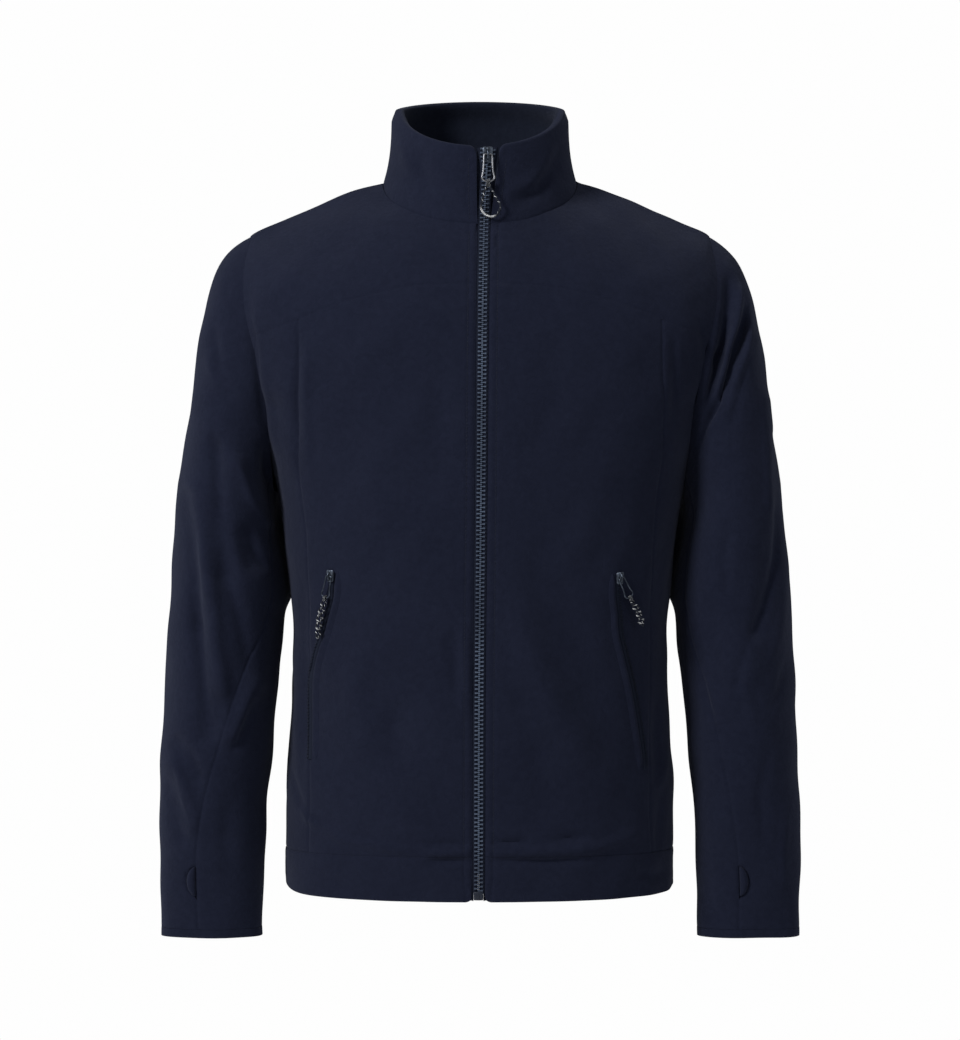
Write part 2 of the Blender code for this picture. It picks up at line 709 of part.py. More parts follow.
def yoke_border(side):
    """The yoke seam's points from the zip to the armhole, shared by three panels."""
    drop_arm = armhole_drops(YOKE_STEP, YOKE_STEP)[0]
    angle_arm = (np.pi / 2 - armhole_turn(drop_arm)) * side
    x_arm = torso_form(angle_arm, drop_arm)[0] / MM
    x_zip = zip_edge(YOKE_SEAM[0][1], side)
    x_seam = PRINCESS_X(PRINCESS[0][0]) * side
    x = np.concatenate([np.linspace(x_zip, x_seam, FRONT_COLUMNS + 1),
                        np.linspace(x_seam, x_arm, SIDE_COLUMNS + 1)[1:]])
    angle, drop = yoke_place(x)
    angle[-1] = angle_arm
    drop[-1] = drop_arm
    return stack(angle, drop)


def neck_front(side):
    """Angles along the front of the neck seam, from the zip to the shoulder."""
    start = edge_angle(np.array([NECK_DROP]), side)[0]
    return np.linspace(start, np.pi / 2 * side, NECK_STEPS + 1)


def front_panels(side):
    """Yoke, centre front and side front of one side."""
    label = side_name(side)
    border = yoke_border(side)
    inner_top = border[:FRONT_COLUMNS + 1]
    outer_top = border[FRONT_COLUMNS:]
    low = body_drops()[::-1]
    rise = ARM_STEPS - YOKE_STEP
    arm = armhole_drops(YOKE_STEP, ARM_STEPS)[::-1][1:]
    share = np.arange(1, rise + 1) / rise

    def rows_to(top_drop):
        return np.concatenate([low, UNDERARM_DROP + (top_drop - UNDERARM_DROP) * share])

    down = np.concatenate([np.zeros(len(low)), share])
    zip_drop = rows_to(inner_top[0, 1])
    zip_side = stack(edge_angle(zip_drop, side), zip_drop)
    zip_side[-1] = inner_top[0]
    seam_drop = rows_to(inner_top[-1, 1])
    seam_side = stack(princess_angle(seam_drop, side), seam_drop)
    seam_side[-1] = inner_top[-1]
    arm_drop = np.concatenate([low, arm])
    arm_side = stack((np.pi / 2 - armhole_turn(arm_drop)) * side, arm_drop)

    across = np.linspace(0, 1, FRONT_COLUMNS + 1)
    bottom = stack(zip_side[0, 0] + (seam_side[0, 0] - zip_side[0, 0]) * across,
                   np.full(len(across), HEM_SEAM_DROP))
    grid = patch(bottom, inner_top, zip_side, seam_side, across, down)
    wall = pulled_back(*torso_wall(grid[..., 0], grid[..., 1]))
    wall_piece("centre_front_" + label, *wall, fleece())

    across = np.linspace(0, 1, SIDE_COLUMNS + 1)
    bottom = stack(seam_side[0, 0] + (arm_side[0, 0] - seam_side[0, 0]) * across,
                   np.full(len(across), HEM_SEAM_DROP))
    grid = patch(bottom, outer_top, seam_side, arm_side, across, down)
    wall = pulled_back(*torso_wall(grid[..., 0], grid[..., 1]))
    wall_piece("side_front_" + label, *wall, fleece())

    neck_angle = neck_front(side)
    shoulder = np.linspace(NECK_DROP, SHOULDER_DROP, SHOULDER_STEPS + 1)[1:]
    top = np.concatenate([stack(neck_angle, np.full(len(neck_angle), NECK_DROP)),
                          stack(np.full(len(shoulder), np.pi / 2 * side), shoulder)])
    arm = armhole_drops(0, YOKE_STEP)[::-1]
    arm_side = stack((np.pi / 2 - armhole_turn(arm)) * side, arm)
    zip_drop = np.linspace(border[0, 1], NECK_DROP, len(arm))
    zip_side = stack(edge_angle(zip_drop, side), zip_drop)
    zip_side[0] = border[0]
    across = np.linspace(0, 1, len(border))
    down = np.linspace(0, 1, len(arm))
    grid = patch(border, top, zip_side, arm_side, across, down)
    wall = pulled_back(*torso_wall(grid[..., 0], grid[..., 1]))
    wall_piece("front_yoke_" + label, *wall, fleece())


def back_panels():
    """The back: a yoke over the shoulders, and below it a centre back between two side backs."""
    low = body_drops()[::-1]
    arm = armhole_drops(0, ARM_STEPS)[::-1][1:]
    drop = np.concatenate([low, arm])
    turn = armhole_turn(drop)
    left = stack(np.pi / 2 + turn, drop)
    right = stack(3 * np.pi / 2 - turn, drop)
    down = 1 - armhole_share(drop)
    across = np.linspace(0, 1, BACK_COLUMNS + 1)
    bottom = stack(np.pi / 2 + np.pi * across, np.full(len(across), HEM_SEAM_DROP))
    shoulder = np.linspace(SHOULDER_DROP, NECK_DROP, SHOULDER_STEPS + 1)
    neck = np.linspace(np.pi / 2, 3 * np.pi / 2, 2 * NECK_STEPS + 1)
    top = np.concatenate([
        stack(np.full(SHOULDER_STEPS, np.pi / 2), shoulder[:-1]),
        stack(neck, np.full(len(neck), NECK_DROP)),
        stack(np.full(SHOULDER_STEPS, 3 * np.pi / 2), shoulder[::-1][1:]),
    ])
    grid = patch(bottom, top, left, right, across, down)
    seam = len(low) + ARM_STEPS - YOKE_STEP - 1
    first = SIDE_BACK_COLUMNS
    last = BACK_COLUMNS - SIDE_BACK_COLUMNS
    panels = {
        "back_yoke": grid[seam:],
        "centre_back": grid[:seam + 1, first:last + 1],
        "side_back_left": grid[:seam + 1, :first + 1],
        "side_back_right": grid[:seam + 1, last:],
    }
    for name, panel in panels.items():
        wall = pulled_back(*torso_wall(panel[..., 0], panel[..., 1]))
        wall_piece(name, *wall, fleece())


def hem_bands():
    """The turned-up hem: two front bands and the back band."""
    drop = np.linspace(HEM_DROP, HEM_SEAM_DROP, 3)
    spans = {"hem_front_left": 1, "hem_front_right": -1, "hem_back": 0}
    for name, side in spans.items():
        if side:
            start = edge_angle(drop, side)
            end = np.full(len(drop), np.pi / 2 * side)
            columns = FRONT_COLUMNS + SIDE_COLUMNS
        else:
            start = np.full(len(drop), np.pi / 2)
            end = np.full(len(drop), 3 * np.pi / 2)
            columns = BACK_COLUMNS
        share = np.linspace(0, 1, columns + 1)
        angle = start[:, None] + (end - start)[:, None] * share
        level = np.repeat(drop[:, None], len(share), axis=1)
        wall = torso_wall(angle, level, HEM_PROUD)
        wall_piece(name, *pulled_back(*wall), fleece())


def thumb_notch(z):
    """How far the upper sleeve's edge stands back at the thumbhole, in mm."""
    share = np.clip(1 - ((z - THUMB_Z) / THUMB_HALF_HEIGHT) ** 2, 0, 1)
    return THUMB_WIDTH * np.sqrt(share)


def sleeve_levels():
    """Levels of a sleeve's rings, from the armhole to the top of the cuff."""
    cap = np.linspace(0, 1, SLEEVE_CAP_ROWS + 1)
    return np.concatenate([cap, level_of(np.array(SLEEVE_ROW_Z, float))])


def seam_turns(level, side):
    """Angles of a sleeve's front and back seams at its levels."""
    z = height_of(level)
    front = SEAM_AT["left" if side > 0 else "right"](z)
    return np.radians(front), np.radians(SEAM_AT["back"](z)), z


def sleeve_panels(side):
    """Upper and under sleeve of one arm."""
    label = side_name(side)
    level = sleeve_levels()
    front, back, z = seam_turns(level, side)
    notch = np.where(level > 1, thumb_notch(z), 0) / FOREARM_RADIUS
    spans = {
        "under_sleeve_": (front, back, SEAM_BACK_STEP - SEAM_FRONT_STEP),
        "upper_sleeve_": (back - 2 * np.pi, front - notch, 2 * ARM_STEPS - SEAM_BACK_STEP + SEAM_FRONT_STEP),
    }
    for name, (start, end, columns) in spans.items():
        share = np.linspace(0, 1, columns + 1)
        turn = start[:, None] + (end - start)[:, None] * share
        grid = np.repeat(level[:, None], len(share), axis=1)
        wall = pulled_back(*sleeve_wall(turn, grid, side), sides="lr")
        wall_piece(name + label, *wall, fleece())


def thumb_facing(side):
    """The puffed half-moon of cloth that fills the thumbhole's slit."""
    label = side_name(side)
    z = np.array([row for row in SLEEVE_ROW_Z if abs(row - THUMB_Z) < THUMB_HALF_HEIGHT], float)
    rows = (z - THUMB_Z) / THUMB_HALF_HEIGHT
    level = level_of(z)
    front, _, _ = seam_turns(level, side)
    width = np.maximum(thumb_notch(z) - 2 * THUMB_GAP, THUMB_GAP) / FOREARM_RADIUS
    share = np.linspace(0, 1, THUMB_COLUMNS + 1)
    turn = front[:, None] - THUMB_GAP / FOREARM_RADIUS - width[:, None] * share
    grid = np.repeat(level[:, None], len(share), axis=1)
    lengthwise = np.sqrt(np.clip(1 - rows ** 2, 0, 1))
    bulge = THUMB_BULGE * MM * lengthwise[:, None] * np.sin(np.pi * share) ** THUMB_ROUND
    face, inner = sleeve_wall(turn, grid, side)
    way = (face - inner) / WALL
    wall_piece("thumbhole_facing_" + label, face + way * bulge[..., None], inner, fleece())


def cuff_binding(side):
    """The narrow band round the end of a sleeve."""
    z = np.array([CUFF_TOP_Z - SEAM_GAP / MM, (CUFF_TOP_Z + CUFF_END_Z) / 2, CUFF_END_Z])
    turn = 2 * np.pi * np.arange(2 * ARM_STEPS) / (2 * ARM_STEPS)
    level = np.repeat(level_of(z)[:, None], len(turn), axis=1)
    angle = np.repeat(turn[None], len(z), axis=0)
    wall = sleeve_wall(angle, level, side, CUFF_PROUD)
    wall_piece("cuff_binding_" + side_name(side), *wall, fleece(), wrap=True)


def collar_height(z):
    """Share of the collar's front height at z in mm."""
    return (z - NECK_FRONT_Z) / (COLLAR_TOP_FRONT_Z - NECK_FRONT_Z)


def collar_edge(height):
    """Distance of the collar's front edges from the zip's middle."""
    return FRONT_EDGE + (COLLAR_EDGE - FRONT_EDGE) * np.clip(height, 0, 1)


def collar_edge_angle(height, side):
    """Angle of the collar's front edge at a share of its height."""
    z = NECK_FRONT_Z + (COLLAR_TOP_FRONT_Z - NECK_FRONT_Z) * height
    half_width = collar_form(np.array(np.pi / 2), height)[0] / MM
    return math.asin((float(ZIP_X(z)) + collar_edge(height) * side) / half_width)


def collar():
    """The stand collar, two layers thick with a rolled top edge."""
    heights = np.array(COLLAR_ROWS)
    neck = np.concatenate([neck_front(1), np.linspace(np.pi / 2, 3 * np.pi / 2, 2 * NECK_STEPS + 1)[1:-1],
                           neck_front(-1)[::-1] + 2 * np.pi])
    rings = []
    up = np.array([0.0, 0.0, 1.0])
    first = np.array([collar_edge_angle(height, 1) for height in heights])
    last = np.array([collar_edge_angle(height, -1) for height in heights])
    for base in neck:
        share = (base - neck[0]) / (neck[-1] - neck[0])
        start_pull = (1 - share) ** COLLAR_EDGE_POWER
        end_pull = share ** COLLAR_EDGE_POWER
        angle = base + start_pull * (first - first[0]) + end_pull * (last - last[0])
        outer = collar_form(angle, heights)
        normal = numeric_normal(collar_form, angle, np.clip(heights, *COLLAR_SLOPE_RANGE), *COLLAR_STEP)
        inner = outer - normal * COLLAR_WALL
        centre = (outer[-1] + inner[-1]) / 2
        half_wall = COLLAR_WALL / 2
        rise = []
        for step in range(1, COLLAR_ROUND_STEPS):
            turn = np.pi * step / COLLAR_ROUND_STEPS
            lift = half_wall * COLLAR_TOP_ROUND * math.sin(turn)
            rise.append(centre + normal[-1] * half_wall * math.cos(turn) + up * lift)
        ring = np.concatenate([outer, np.array(rise), inner[::-1]])
        ring[0] += up * SEAM_GAP / 2
        ring[-1] = ring[0] - normal[0] * COLLAR_WALL
        ring[-1][2] = ring[0][2]
        rings.append(ring)
    swept_piece("collar", np.array(rings), fleece())


def zip_stations():
    """Heights of the main zip's stations in mm, matched to the fronts' rows."""
    hem = np.linspace(ZIP_BOX_Z, -HEM_SEAM_DROP, 3)
    rise = ARM_STEPS - YOKE_STEP
    share = np.arange(1, rise + 1) / rise
    drop_yoke = yoke_border(1)[0, 1]
    low = body_drops()[::-1]
    front = np.concatenate([low, UNDERARM_DROP + (drop_yoke - UNDERARM_DROP) * share])
    yoke = np.linspace(drop_yoke, NECK_DROP, YOKE_STEP + 1)[1:]
    drops = np.concatenate([front[1:], yoke])
    heights = torso_form(np.zeros_like(drops), drops)[:, 2] / MM
    return np.concatenate([hem, heights])


def zip_frame(z, aside=0.0):
    """Place and outward direction beside the zip's middle, at a height and offset in mm."""
    x = float(ZIP_X(z)) + aside
    if z <= NECK_FRONT_Z:
        angle, drop = front_place(np.array(x), np.array(z))
        face, deep = torso_wall(angle, drop)
        return face, (face - deep) / WALL
    height = collar_height(z)
    half_width = collar_form(np.array(np.pi / 2), height)[0] / MM
    angle = np.array(math.asin(x / half_width))
    normal = numeric_normal(collar_form, angle, np.clip(height, *COLLAR_SLOPE_RANGE), *COLLAR_STEP)
    return collar_form(angle, np.array(height)), normal


def zip_half(side):
    """One half of the main zip: a row of teeth on its tape."""
    heights = [z for z in zip_stations() if z > ZIP_FOOT_Z]
    heights = [ZIP_FOOT_Z] + heights + list(ZIP_COLLAR_Z)
    tape_top = -(WALL / MM + TAPE_CLEAR)
    rings = []
    for z in heights:
        parted = np.clip((z - ZIP_PART_Z) / ZIP_PART_SPAN, 0, 1)
        start = TEETH_GAP + ZIP_PART_WIDTH * parted
        tooth_end = start + CHAIN_HALF - TEETH_GAP
        tape_end = TAPE_HALF if z < NECK_FRONT_Z - 1 else collar_edge(collar_height(z)) - COLLAR_TAPE_GAP
        tape_end = max(tape_end, tooth_end + TAPE_SHORTEST)
        profile = (
            (start, CHAIN_FACE), (tooth_end, CHAIN_FACE), (tooth_end, tape_top), (tape_end, tape_top),
            (tape_end, tape_top - TAPE_THICKNESS), (start, tape_top - TAPE_THICKNESS),
        )
        ring = []
        for aside, above in profile:
            face, out = zip_frame(z, aside * side)
            ring.append(face + out * above * MM)
        rings.append(ring)
    swept_piece("zip_" + side_name(side), np.array(rings), teeth())


def zip_box():
    """The box at the foot of the main zip."""
    face, out = zip_frame(ZIP_BOX_Z)
    place = surface_frame(face, out, (0, 0, 1))
    box = temporary(box_part(ZIP_BOX, MM), "zip_box")
    joined([box], "zip_box", teeth(), place)


def evaluated_mesh(piece):
    """A plain mesh of a curve or modified object, welded."""
    graph = bpy.context.evaluated_depsgraph_get()
    mesh = bpy.data.meshes.new_from_object(piece.evaluated_get(graph))
    work = bmesh.new()
    work.from_mesh(mesh)
    bmesh.ops.remove_doubles(work, verts=work.verts, dist=WELD)
    bmesh.ops.recalc_face_normals(work, faces=work.faces)
    work.to_mesh(mesh)
    work.free()
    return mesh


def tube(name, route, radius, material, closed=False, sides=2):
    """A round wire or cord through its route, in metres."""
    curve = bpy.data.curves.new(name, "CURVE")
    curve.dimensions = "3D"
    curve.bevel_depth = radius
    curve.bevel_resolution = sides
    curve.use_fill_caps = not closed
    spline = curve.splines.new("POLY")
    spline.points.add(len(route) - 1)
    for point, place in zip(spline.points, route):
        point.co = (*place, 1.0)
    spline.use_cyclic_u = closed
    curve.materials.append(material)
    piece = bpy.data.objects.new(name, curve)
    JACKET.objects.link(piece)
    return piece


def box_part(box, scale):
    """A bevelled box in a bmesh of its own, in metres."""
    work = bmesh.new()
    bmesh.ops.create_cube(work, size=1.0)
    bmesh.ops.scale(work, vec=Vector(box.size) * scale, verts=work.verts)
    bmesh.ops.bevel(work, geom=work.edges, offset=box.bevel * scale, segments=1, affect="EDGES")
    bmesh.ops.translate(work, vec=Vector(box.middle) * scale, verts=work.verts)
    return work


def temporary(work, name):
    """A scene object for a boolean step."""
    mesh = bpy.data.meshes.new(name)
    work.to_mesh(mesh)
    work.free()
    piece = bpy.data.objects.new(name, mesh)
    JACKET.objects.link(piece)
    return piece


def joined(pieces, name, material, place):
    """Pieces united into one closed solid and set at a place."""
    first = pieces[0]
    for other in pieces[1:]:
        union = first.modifiers.new("union", "BOOLEAN")
        union.operation = "UNION"
        union.object = other
    bpy.context.view_layer.update()
    mesh = evaluated_mesh(first)
    mesh.transform(place)
    for piece in pieces:
        bpy.data.objects.remove(piece)
    return add_object(name, mesh, material)


def surface_frame(origin, out, up_hint):
    """A frame whose Y points into the cloth, and whose Z runs up along the zip."""
    inward = -Vector(out).normalized()
    up = Vector(up_hint)
    up = (up - inward * up.dot(inward)).normalized()
    across = inward.cross(up).normalized()
    rows = Matrix((across, inward, up)).transposed()
    return Matrix.Translation(Vector(origin)) @ rows.to_4x4()


def slider(name, place, scale, boxes):
    """Slider body: its boxes and the bail, united."""
    k = MM * scale
    plates = [temporary(box_part(box, k), "plate") for box in boxes]
    bail = tube("bail", [tuple(v * k for v in point) for point in BAIL_ARCH], BAIL_WIRE * k, metal())
    bpy.context.view_layer.update()
    solid = bmesh.new()
    solid.from_mesh(evaluated_mesh(bail))
    bpy.data.objects.remove(bail)
    plates.append(temporary(solid, "bail solid"))
    return joined(plates, name, metal(), place)


def pull_tab(name, hinge, scale):
    """The wire tab that hangs in the bail; its origin is on its hinge."""
    k = MM * scale
    route = [(x, z) for x, z in TAB_OUTLINE] + [(0, TAB_FOOT)] + [(-x, z) for x, z in reversed(TAB_OUTLINE)]
    ring = tube(name + "_wire", [(x * k, 0, z * k) for x, z in route], TAB_WIRE * k, metal(), closed=True)
    bpy.context.view_layer.update()
    mesh = evaluated_mesh(ring)
    bpy.data.objects.remove(ring)
    tab = add_object(name, mesh, metal())
    tab.matrix_world = hinge


def knot(name, hinge, scale):
    """The knot of the pull cord, just under the tab."""
    k = MM * scale
    work = bmesh.new()
    bmesh.ops.create_uvsphere(work, u_segments=10, v_segments=6, radius=1.0)
    bmesh.ops.scale(work, vec=Vector(KNOT_SIZE) * k, verts=work.verts)
    bmesh.ops.translate(work, vec=Vector((0, 0, KNOT_Z * k)), verts=work.verts)
    mesh = bpy.data.meshes.new(name)
    work.to_mesh(mesh)
    work.free()
    piece = add_object(name, mesh, cord_material())
    piece.matrix_world = hinge


def smooth_route(points, count):
    """Even points along a smooth line through hand-set points."""
    points = np.array(points, float)
    ends = np.vstack([2 * points[0] - points[1], points, 2 * points[-1] - points[-2]])
    fine = []
    for k in range(len(points) - 1):
        a, b, c, d = ends[k:k + 4]
        for t in np.linspace(0, 1, ROUTE_STEPS, endpoint=False):
            fine.append(0.5 * (2 * b + (c - a) * t + (2 * a - 5 * b + 4 * c - d) * t * t
                               + (3 * b - a - 3 * c + d) * t ** 3))
    fine.append(points[-1])
    fine = np.array(fine)
    run = np.concatenate([[0], np.cumsum(np.linalg.norm(np.diff(fine, axis=0), axis=1))])
    even = np.linspace(0, run[-1], count)
    return np.stack([np.interp(even, run, fine[:, axis]) for axis in range(3)], axis=-1)


def loop_cord(name, hinge):
    """The cord loop of the main pull."""
    route = smooth_route([(x * MM, y * MM, z * MM) for x, y, z in MAIN_CORD], MAIN_CORD_POINTS)
    cord = tube(name, [hinge @ Vector(tuple(point)) for point in route], CORD_RADIUS * MM, cord_material())
    return cord


def twisted_cord(name, hinge, twist, sway):
    """A pocket pull's cord, doubled and twisted round itself, with a bend at its foot."""
    steps = round(twist.turns * CORD_STEPS_PER_TURN)
    top = KNOT_Z * POCKET_SLIDER_SCALE - POCKET_CORD_DROP
    down = []
    for phase in (0.0, math.pi):
        strand = []
        for step in range(steps + 1):
            share = step / steps
            turn = phase + 2 * math.pi * twist.turns * share
            middle = sway * math.sin(share * math.pi)
            radius = POCKET_CORD_RADIUS + POCKET_CORD_SWELL * math.sin(share * math.pi)
            strand.append((middle + radius * math.cos(turn), radius * math.sin(turn), top - twist.length * share))
        down.append(strand)
    foot = top - twist.length
    end = down[0][-1]
    start = down[1][-1]
    bend = []
    for t in (0.25, 0.5, 0.75):
        x, y = (end[axis] * (1 - t) + start[axis] * t for axis in (0, 1))
        bend.append((x, y, foot - POCKET_CORD_BEND * math.sin(math.pi * t)))
    route = down[0] + bend + down[1][::-1]
    places = [hinge @ Vector(tuple(v * MM for v in point)) for point in route]
    return tube(name, places, CORD_RADIUS * MM, cord_material())


def cloth_under(panels):
    """A ray target made of finished panels, to lay trim on."""
    points = []
    faces = []
    for panel in panels:
        start = len(points)
        points += [v.co.copy() for v in panel.data.vertices]
        faces += [tuple(start + v for v in face.vertices) for face in panel.data.polygons]
    return BVHTree.FromPolygons(points, faces)


def lay_strip(name, middle, aside, half, crown, ground, material):
    """A strip of trim on the front, beside a middle line of x and z places in mm."""
    line = smooth_route([(x, 0, z) for x, z in middle], POCKET_STATIONS)
    tangent = np.gradient(line, axis=0)
    tangent /= np.linalg.norm(tangent, axis=1, keepdims=True)
    rings = []
    for point, way in zip(line, tangent):
        across = np.array([-way[2], 0, way[0]])
        feet = []
        for shift in (aside - half, aside + half):
            x, _, z = (point + across * shift) * MM
            hit = ground.ray_cast(Vector((x, RAY_START_Y, z)), Vector((0, 1, 0)))[0]
            feet.append(np.array(hit))
        angle, drop = front_place(np.array(point[0]), np.array(point[2]))
        face, deep = torso_wall(angle, drop)
        out = (face - deep) / WALL
        x, _, z = (point + across * aside) * MM
        crest = np.array(ground.ray_cast(Vector((x, RAY_START_Y, z)), Vector((0, 1, 0)))[0])
        hump = max(0.0, float((crest - (feet[0] + feet[1]) / 2) @ out))
        feet = [foot + out * (CLEAR + hump) for foot in feet]
        ring = [feet[0]]
        for share, height in crown:
            ring.append(feet[0] * (1 - share) + feet[1] * share + out * height * MM)
        ring.append(feet[1])
        rings.append(ring)
    swept_piece(name, np.array(rings), material)


def pocket(side, ground):
    """One pocket: its coil, the lip of its opening, and the slider with its pull."""
    label = side_name(side)
    route = LEFT_POCKET if side > 0 else RIGHT_POCKET
    lay_strip("pocket_zip_" + label, route, 0, COIL_HALF, COIL_CROWN, ground, teeth())
    lay_strip("pocket_lip_" + label, route, -LIP_OFFSET * side, LIP_HALF, LIP_CROWN, ground, fleece())
    x, z = route[0]
    angle, drop = front_place(np.array(x, float), np.array(z - POCKET_SLIDER_DOWN))
    face, deep = torso_wall(angle, drop)
    out = (face - deep) / WALL
    place = surface_frame(face + out * POCKET_SLIDER_LIFT * MM, out, (0, 0, 1))
    slider("pocket_slider_" + label, place, POCKET_SLIDER_SCALE, (SLIDER_PLATE,))
    lean = Matrix.Rotation(math.radians(POCKET_LEAN[label]), 4, "Y")
    tilt = Matrix.Rotation(math.radians(POCKET_TILT), 4, "X").inverted()
    hinge = place @ Matrix.Translation((0, -HINGE_OUT * MM * POCKET_SLIDER_SCALE, 0)) @ lean @ tilt
    pull_tab("pocket_pull_" + label, hinge, POCKET_SLIDER_SCALE)
    knot("pocket_knot_" + label, hinge, POCKET_SLIDER_SCALE)
    twisted_cord("pocket_cord_" + label, hinge, POCKET_CORD[label], POCKET_CORD_SWAY * side)


def build():
    for side in (1, -1):
        front_panels(side)
        sleeve_panels(side)
        thumb_facing(side)
        cuff_binding(side)
        zip_half(side)
        ground = cloth_under([JACKET.objects["centre_front_" + side_name(side)],
                              JACKET.objects["side_front_" + side_name(side)]])
        pocket(side, ground)
    back_panels()
    hem_bands()
    collar()
    zip_box()
    face, out = zip_frame(SLIDER_Z)
    place = surface_frame(face, out, (0, 0, 1))
    slider("main_slider", place, 1.0, (SLIDER_PLATE, SLIDER_POST, SLIDER_REAR))
    tilt = Matrix.Rotation(math.radians(MAIN_TILT), 4, "X").inverted()
    hinge = place @ Matrix.Translation((0, -HINGE_OUT * MM, 0)) @ tilt
    pull_tab("main_pull", hinge, 1.0)
    knot("main_knot", hinge, 1.0)
    loop_cord("main_cord", hinge)


for leftover in list(bpy.data.objects):
    bpy.data.objects.remove(leftover)
JACKET = bpy.data.collections.new("fleece zip jacket")
bpy.context.scene.collection.children.link(JACKET)
build()
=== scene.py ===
"""Looks of the fleece zip jacket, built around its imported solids.

Metres, +Z up, the front faces -Y and the wearer's left is +X. Tables are in mm.
"""
import math
from collections import namedtuple

import bmesh
import bpy
import numpy as np
from mathutils import Matrix, Vector
from mathutils.bvhtree import BVHTree


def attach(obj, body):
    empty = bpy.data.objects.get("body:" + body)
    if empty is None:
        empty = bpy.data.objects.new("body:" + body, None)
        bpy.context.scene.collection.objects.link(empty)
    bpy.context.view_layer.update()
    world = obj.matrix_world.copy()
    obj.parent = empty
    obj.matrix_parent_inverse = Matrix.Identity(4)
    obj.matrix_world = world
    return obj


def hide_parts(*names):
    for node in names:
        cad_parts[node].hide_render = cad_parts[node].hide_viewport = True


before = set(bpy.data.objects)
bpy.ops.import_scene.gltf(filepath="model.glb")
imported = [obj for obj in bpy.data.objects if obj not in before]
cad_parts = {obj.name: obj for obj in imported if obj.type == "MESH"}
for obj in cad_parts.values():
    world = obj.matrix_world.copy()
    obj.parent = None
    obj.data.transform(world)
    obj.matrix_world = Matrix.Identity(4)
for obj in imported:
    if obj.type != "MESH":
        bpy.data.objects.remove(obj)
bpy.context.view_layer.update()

MM = 0.001
SHARP_ANGLE = math.radians(60)
BISECTIONS = 40

# Cloth
WALL = 2.2 * MM
COLLAR_WALL = 4.4 * MM
HEM_PROUD = 0.5 * MM
SEAM_GAP = 0.3 * MM
SEAM_MARGIN = 0.03 * MM
SLEEVE_SEAM_MARGIN = 0.02 * MM

# Main lines of the torso, as drops below the origin
NECK_DROP = -6.0
SHOULDER_DROP = 47.0
UNDERARM_DROP = 302.0
HEM_SEAM_DROP = 656.0
HEM_DROP = 698.0

# Small steps for a surface's slope, as an angle, a drop in mm and a sleeve level
FORM_STEP = (1e-3, 0.05)
FOLDED_STEP = (2e-3, 0.1)
SLEEVE_FORM_STEP = (2e-3, 2e-3)
SLEEVE_FOLDED_STEP = (4e-3, 4e-3)
COLLAR_STEP = (1e-3, 1e-2)

Section = namedtuple("Section", "drop half_width front back front_rise back_rise square")
TORSO = [Section(*row) for row in (
    (-6, 97, 88, 75, -48, 16, 2.0),
    (3, 126, 97, 87, -55, 3, 2.1),
    (16.5, 161, 105, 98, -61, -9, 2.2),
    (30, 194.5, 112, 108, -68, -22, 2.3),
    (47, 229, 118, 115, -73, -31, 2.3),
    (70, 240, 122, 120, -72, -34, 2.4),
    (100, 244.5, 126, 124, -66, -32, 2.4),
    (150, 238.5, 129.5, 128, -50, -24, 2.4),
    (200, 228, 132, 130, -33, -14, 2.4),
    (250, 216, 133.5, 130, -16, -6, 2.4),
    (302, 202.5, 134.5, 128, 0, 0, 2.4),
    (350, 195.3, 135, 124, 0, 0, 2.4),
    (400, 189.8, 135, 120, 0, 0, 2.4),
    (450, 186.5, 134.5, 117, 0, 0, 2.4),
    (500, 187, 134, 116, 0, 0, 2.4),
    (550, 190, 133, 117, 0, 0, 2.4),
    (600, 193.5, 132, 119, 1, 0, 2.4),
    (650, 193.5, 130, 121, 2, 0, 2.4),
    (702, 192.5, 127, 122, 0.5, 0, 2.4),
)]

# The armhole's widest angle off the side line, and how much narrower it gets lower down
ARMHOLE_ANGLE = 0.545
ARMHOLE_TOP_SHARE = 1.05
ARMHOLE_TAPER = 0.30
YOKE_TURN = math.pi * 5 / 12

Cuff = namedtuple("Cuff", "z outer inner depth middle behind square")
SLEEVE = [Cuff(*row) for row in (
    (-315, 300.3, 203.6, 75, 0, 20, 2.1),
    (-350, 304.6, 197.2, 74.5, 0, 22, 2.1),
    (-395, 308.3, 191.9, 73, -1, 16, 2.1),
    (-418, 310.1, 195.0, 72, -2, 6, 2.1),
    (-450, 311.6, 196.7, 70, -4, 0, 2.1),
    (-482, 313.2, 200.0, 67.5, -7, 0, 2.1),
    (-514, 314.2, 203.5, 64.5, -10, 0, 2.1),
    (-546, 315.6, 205.8, 61, -13, 0, 2.1),
    (-578, 317.1, 208.5, 57, -16, 0, 2.1),
    (-610, 318.0, 211.3, 52, -18, 0, 2.15),
    (-642, 318.2, 213.0, 46, -20, 0, 2.2),
    (-674, 317.9, 214.3, 40, -21, 0, 2.3),
    (-706, 317.0, 215.3, 34.5, -21, 0, 2.4),
    (-746, 315.7, 215.3, 29.5, -21, 0, 2.4),
)]
SLEEVE_TOP_TILT = 22
SLEEVE_TILT_END = -470
SLEEVE_TILT_SPAN = 155
LEVEL_MM = 100

# How the sleeve leaves the armhole and enters its first full ring
CapLean = namedtuple("CapLean", "out out_gain front down down_gain inward")
CAP_LEAN = CapLean(0.134, 0.808, 0.34, 0.397, 0.58, 0.19)
CAP_FIRST_LEVEL = 6e-3
CAP_LENGTH = 240
LEAST_LEVEL_GAP = 0.004
CAP_START_PULL = 0.246
CAP_END_PULL = 0.454
CUFF_TOP_Z = -733
CUFF_END_Z = -741.5
CUFF_PROUD = 0.15 * MM

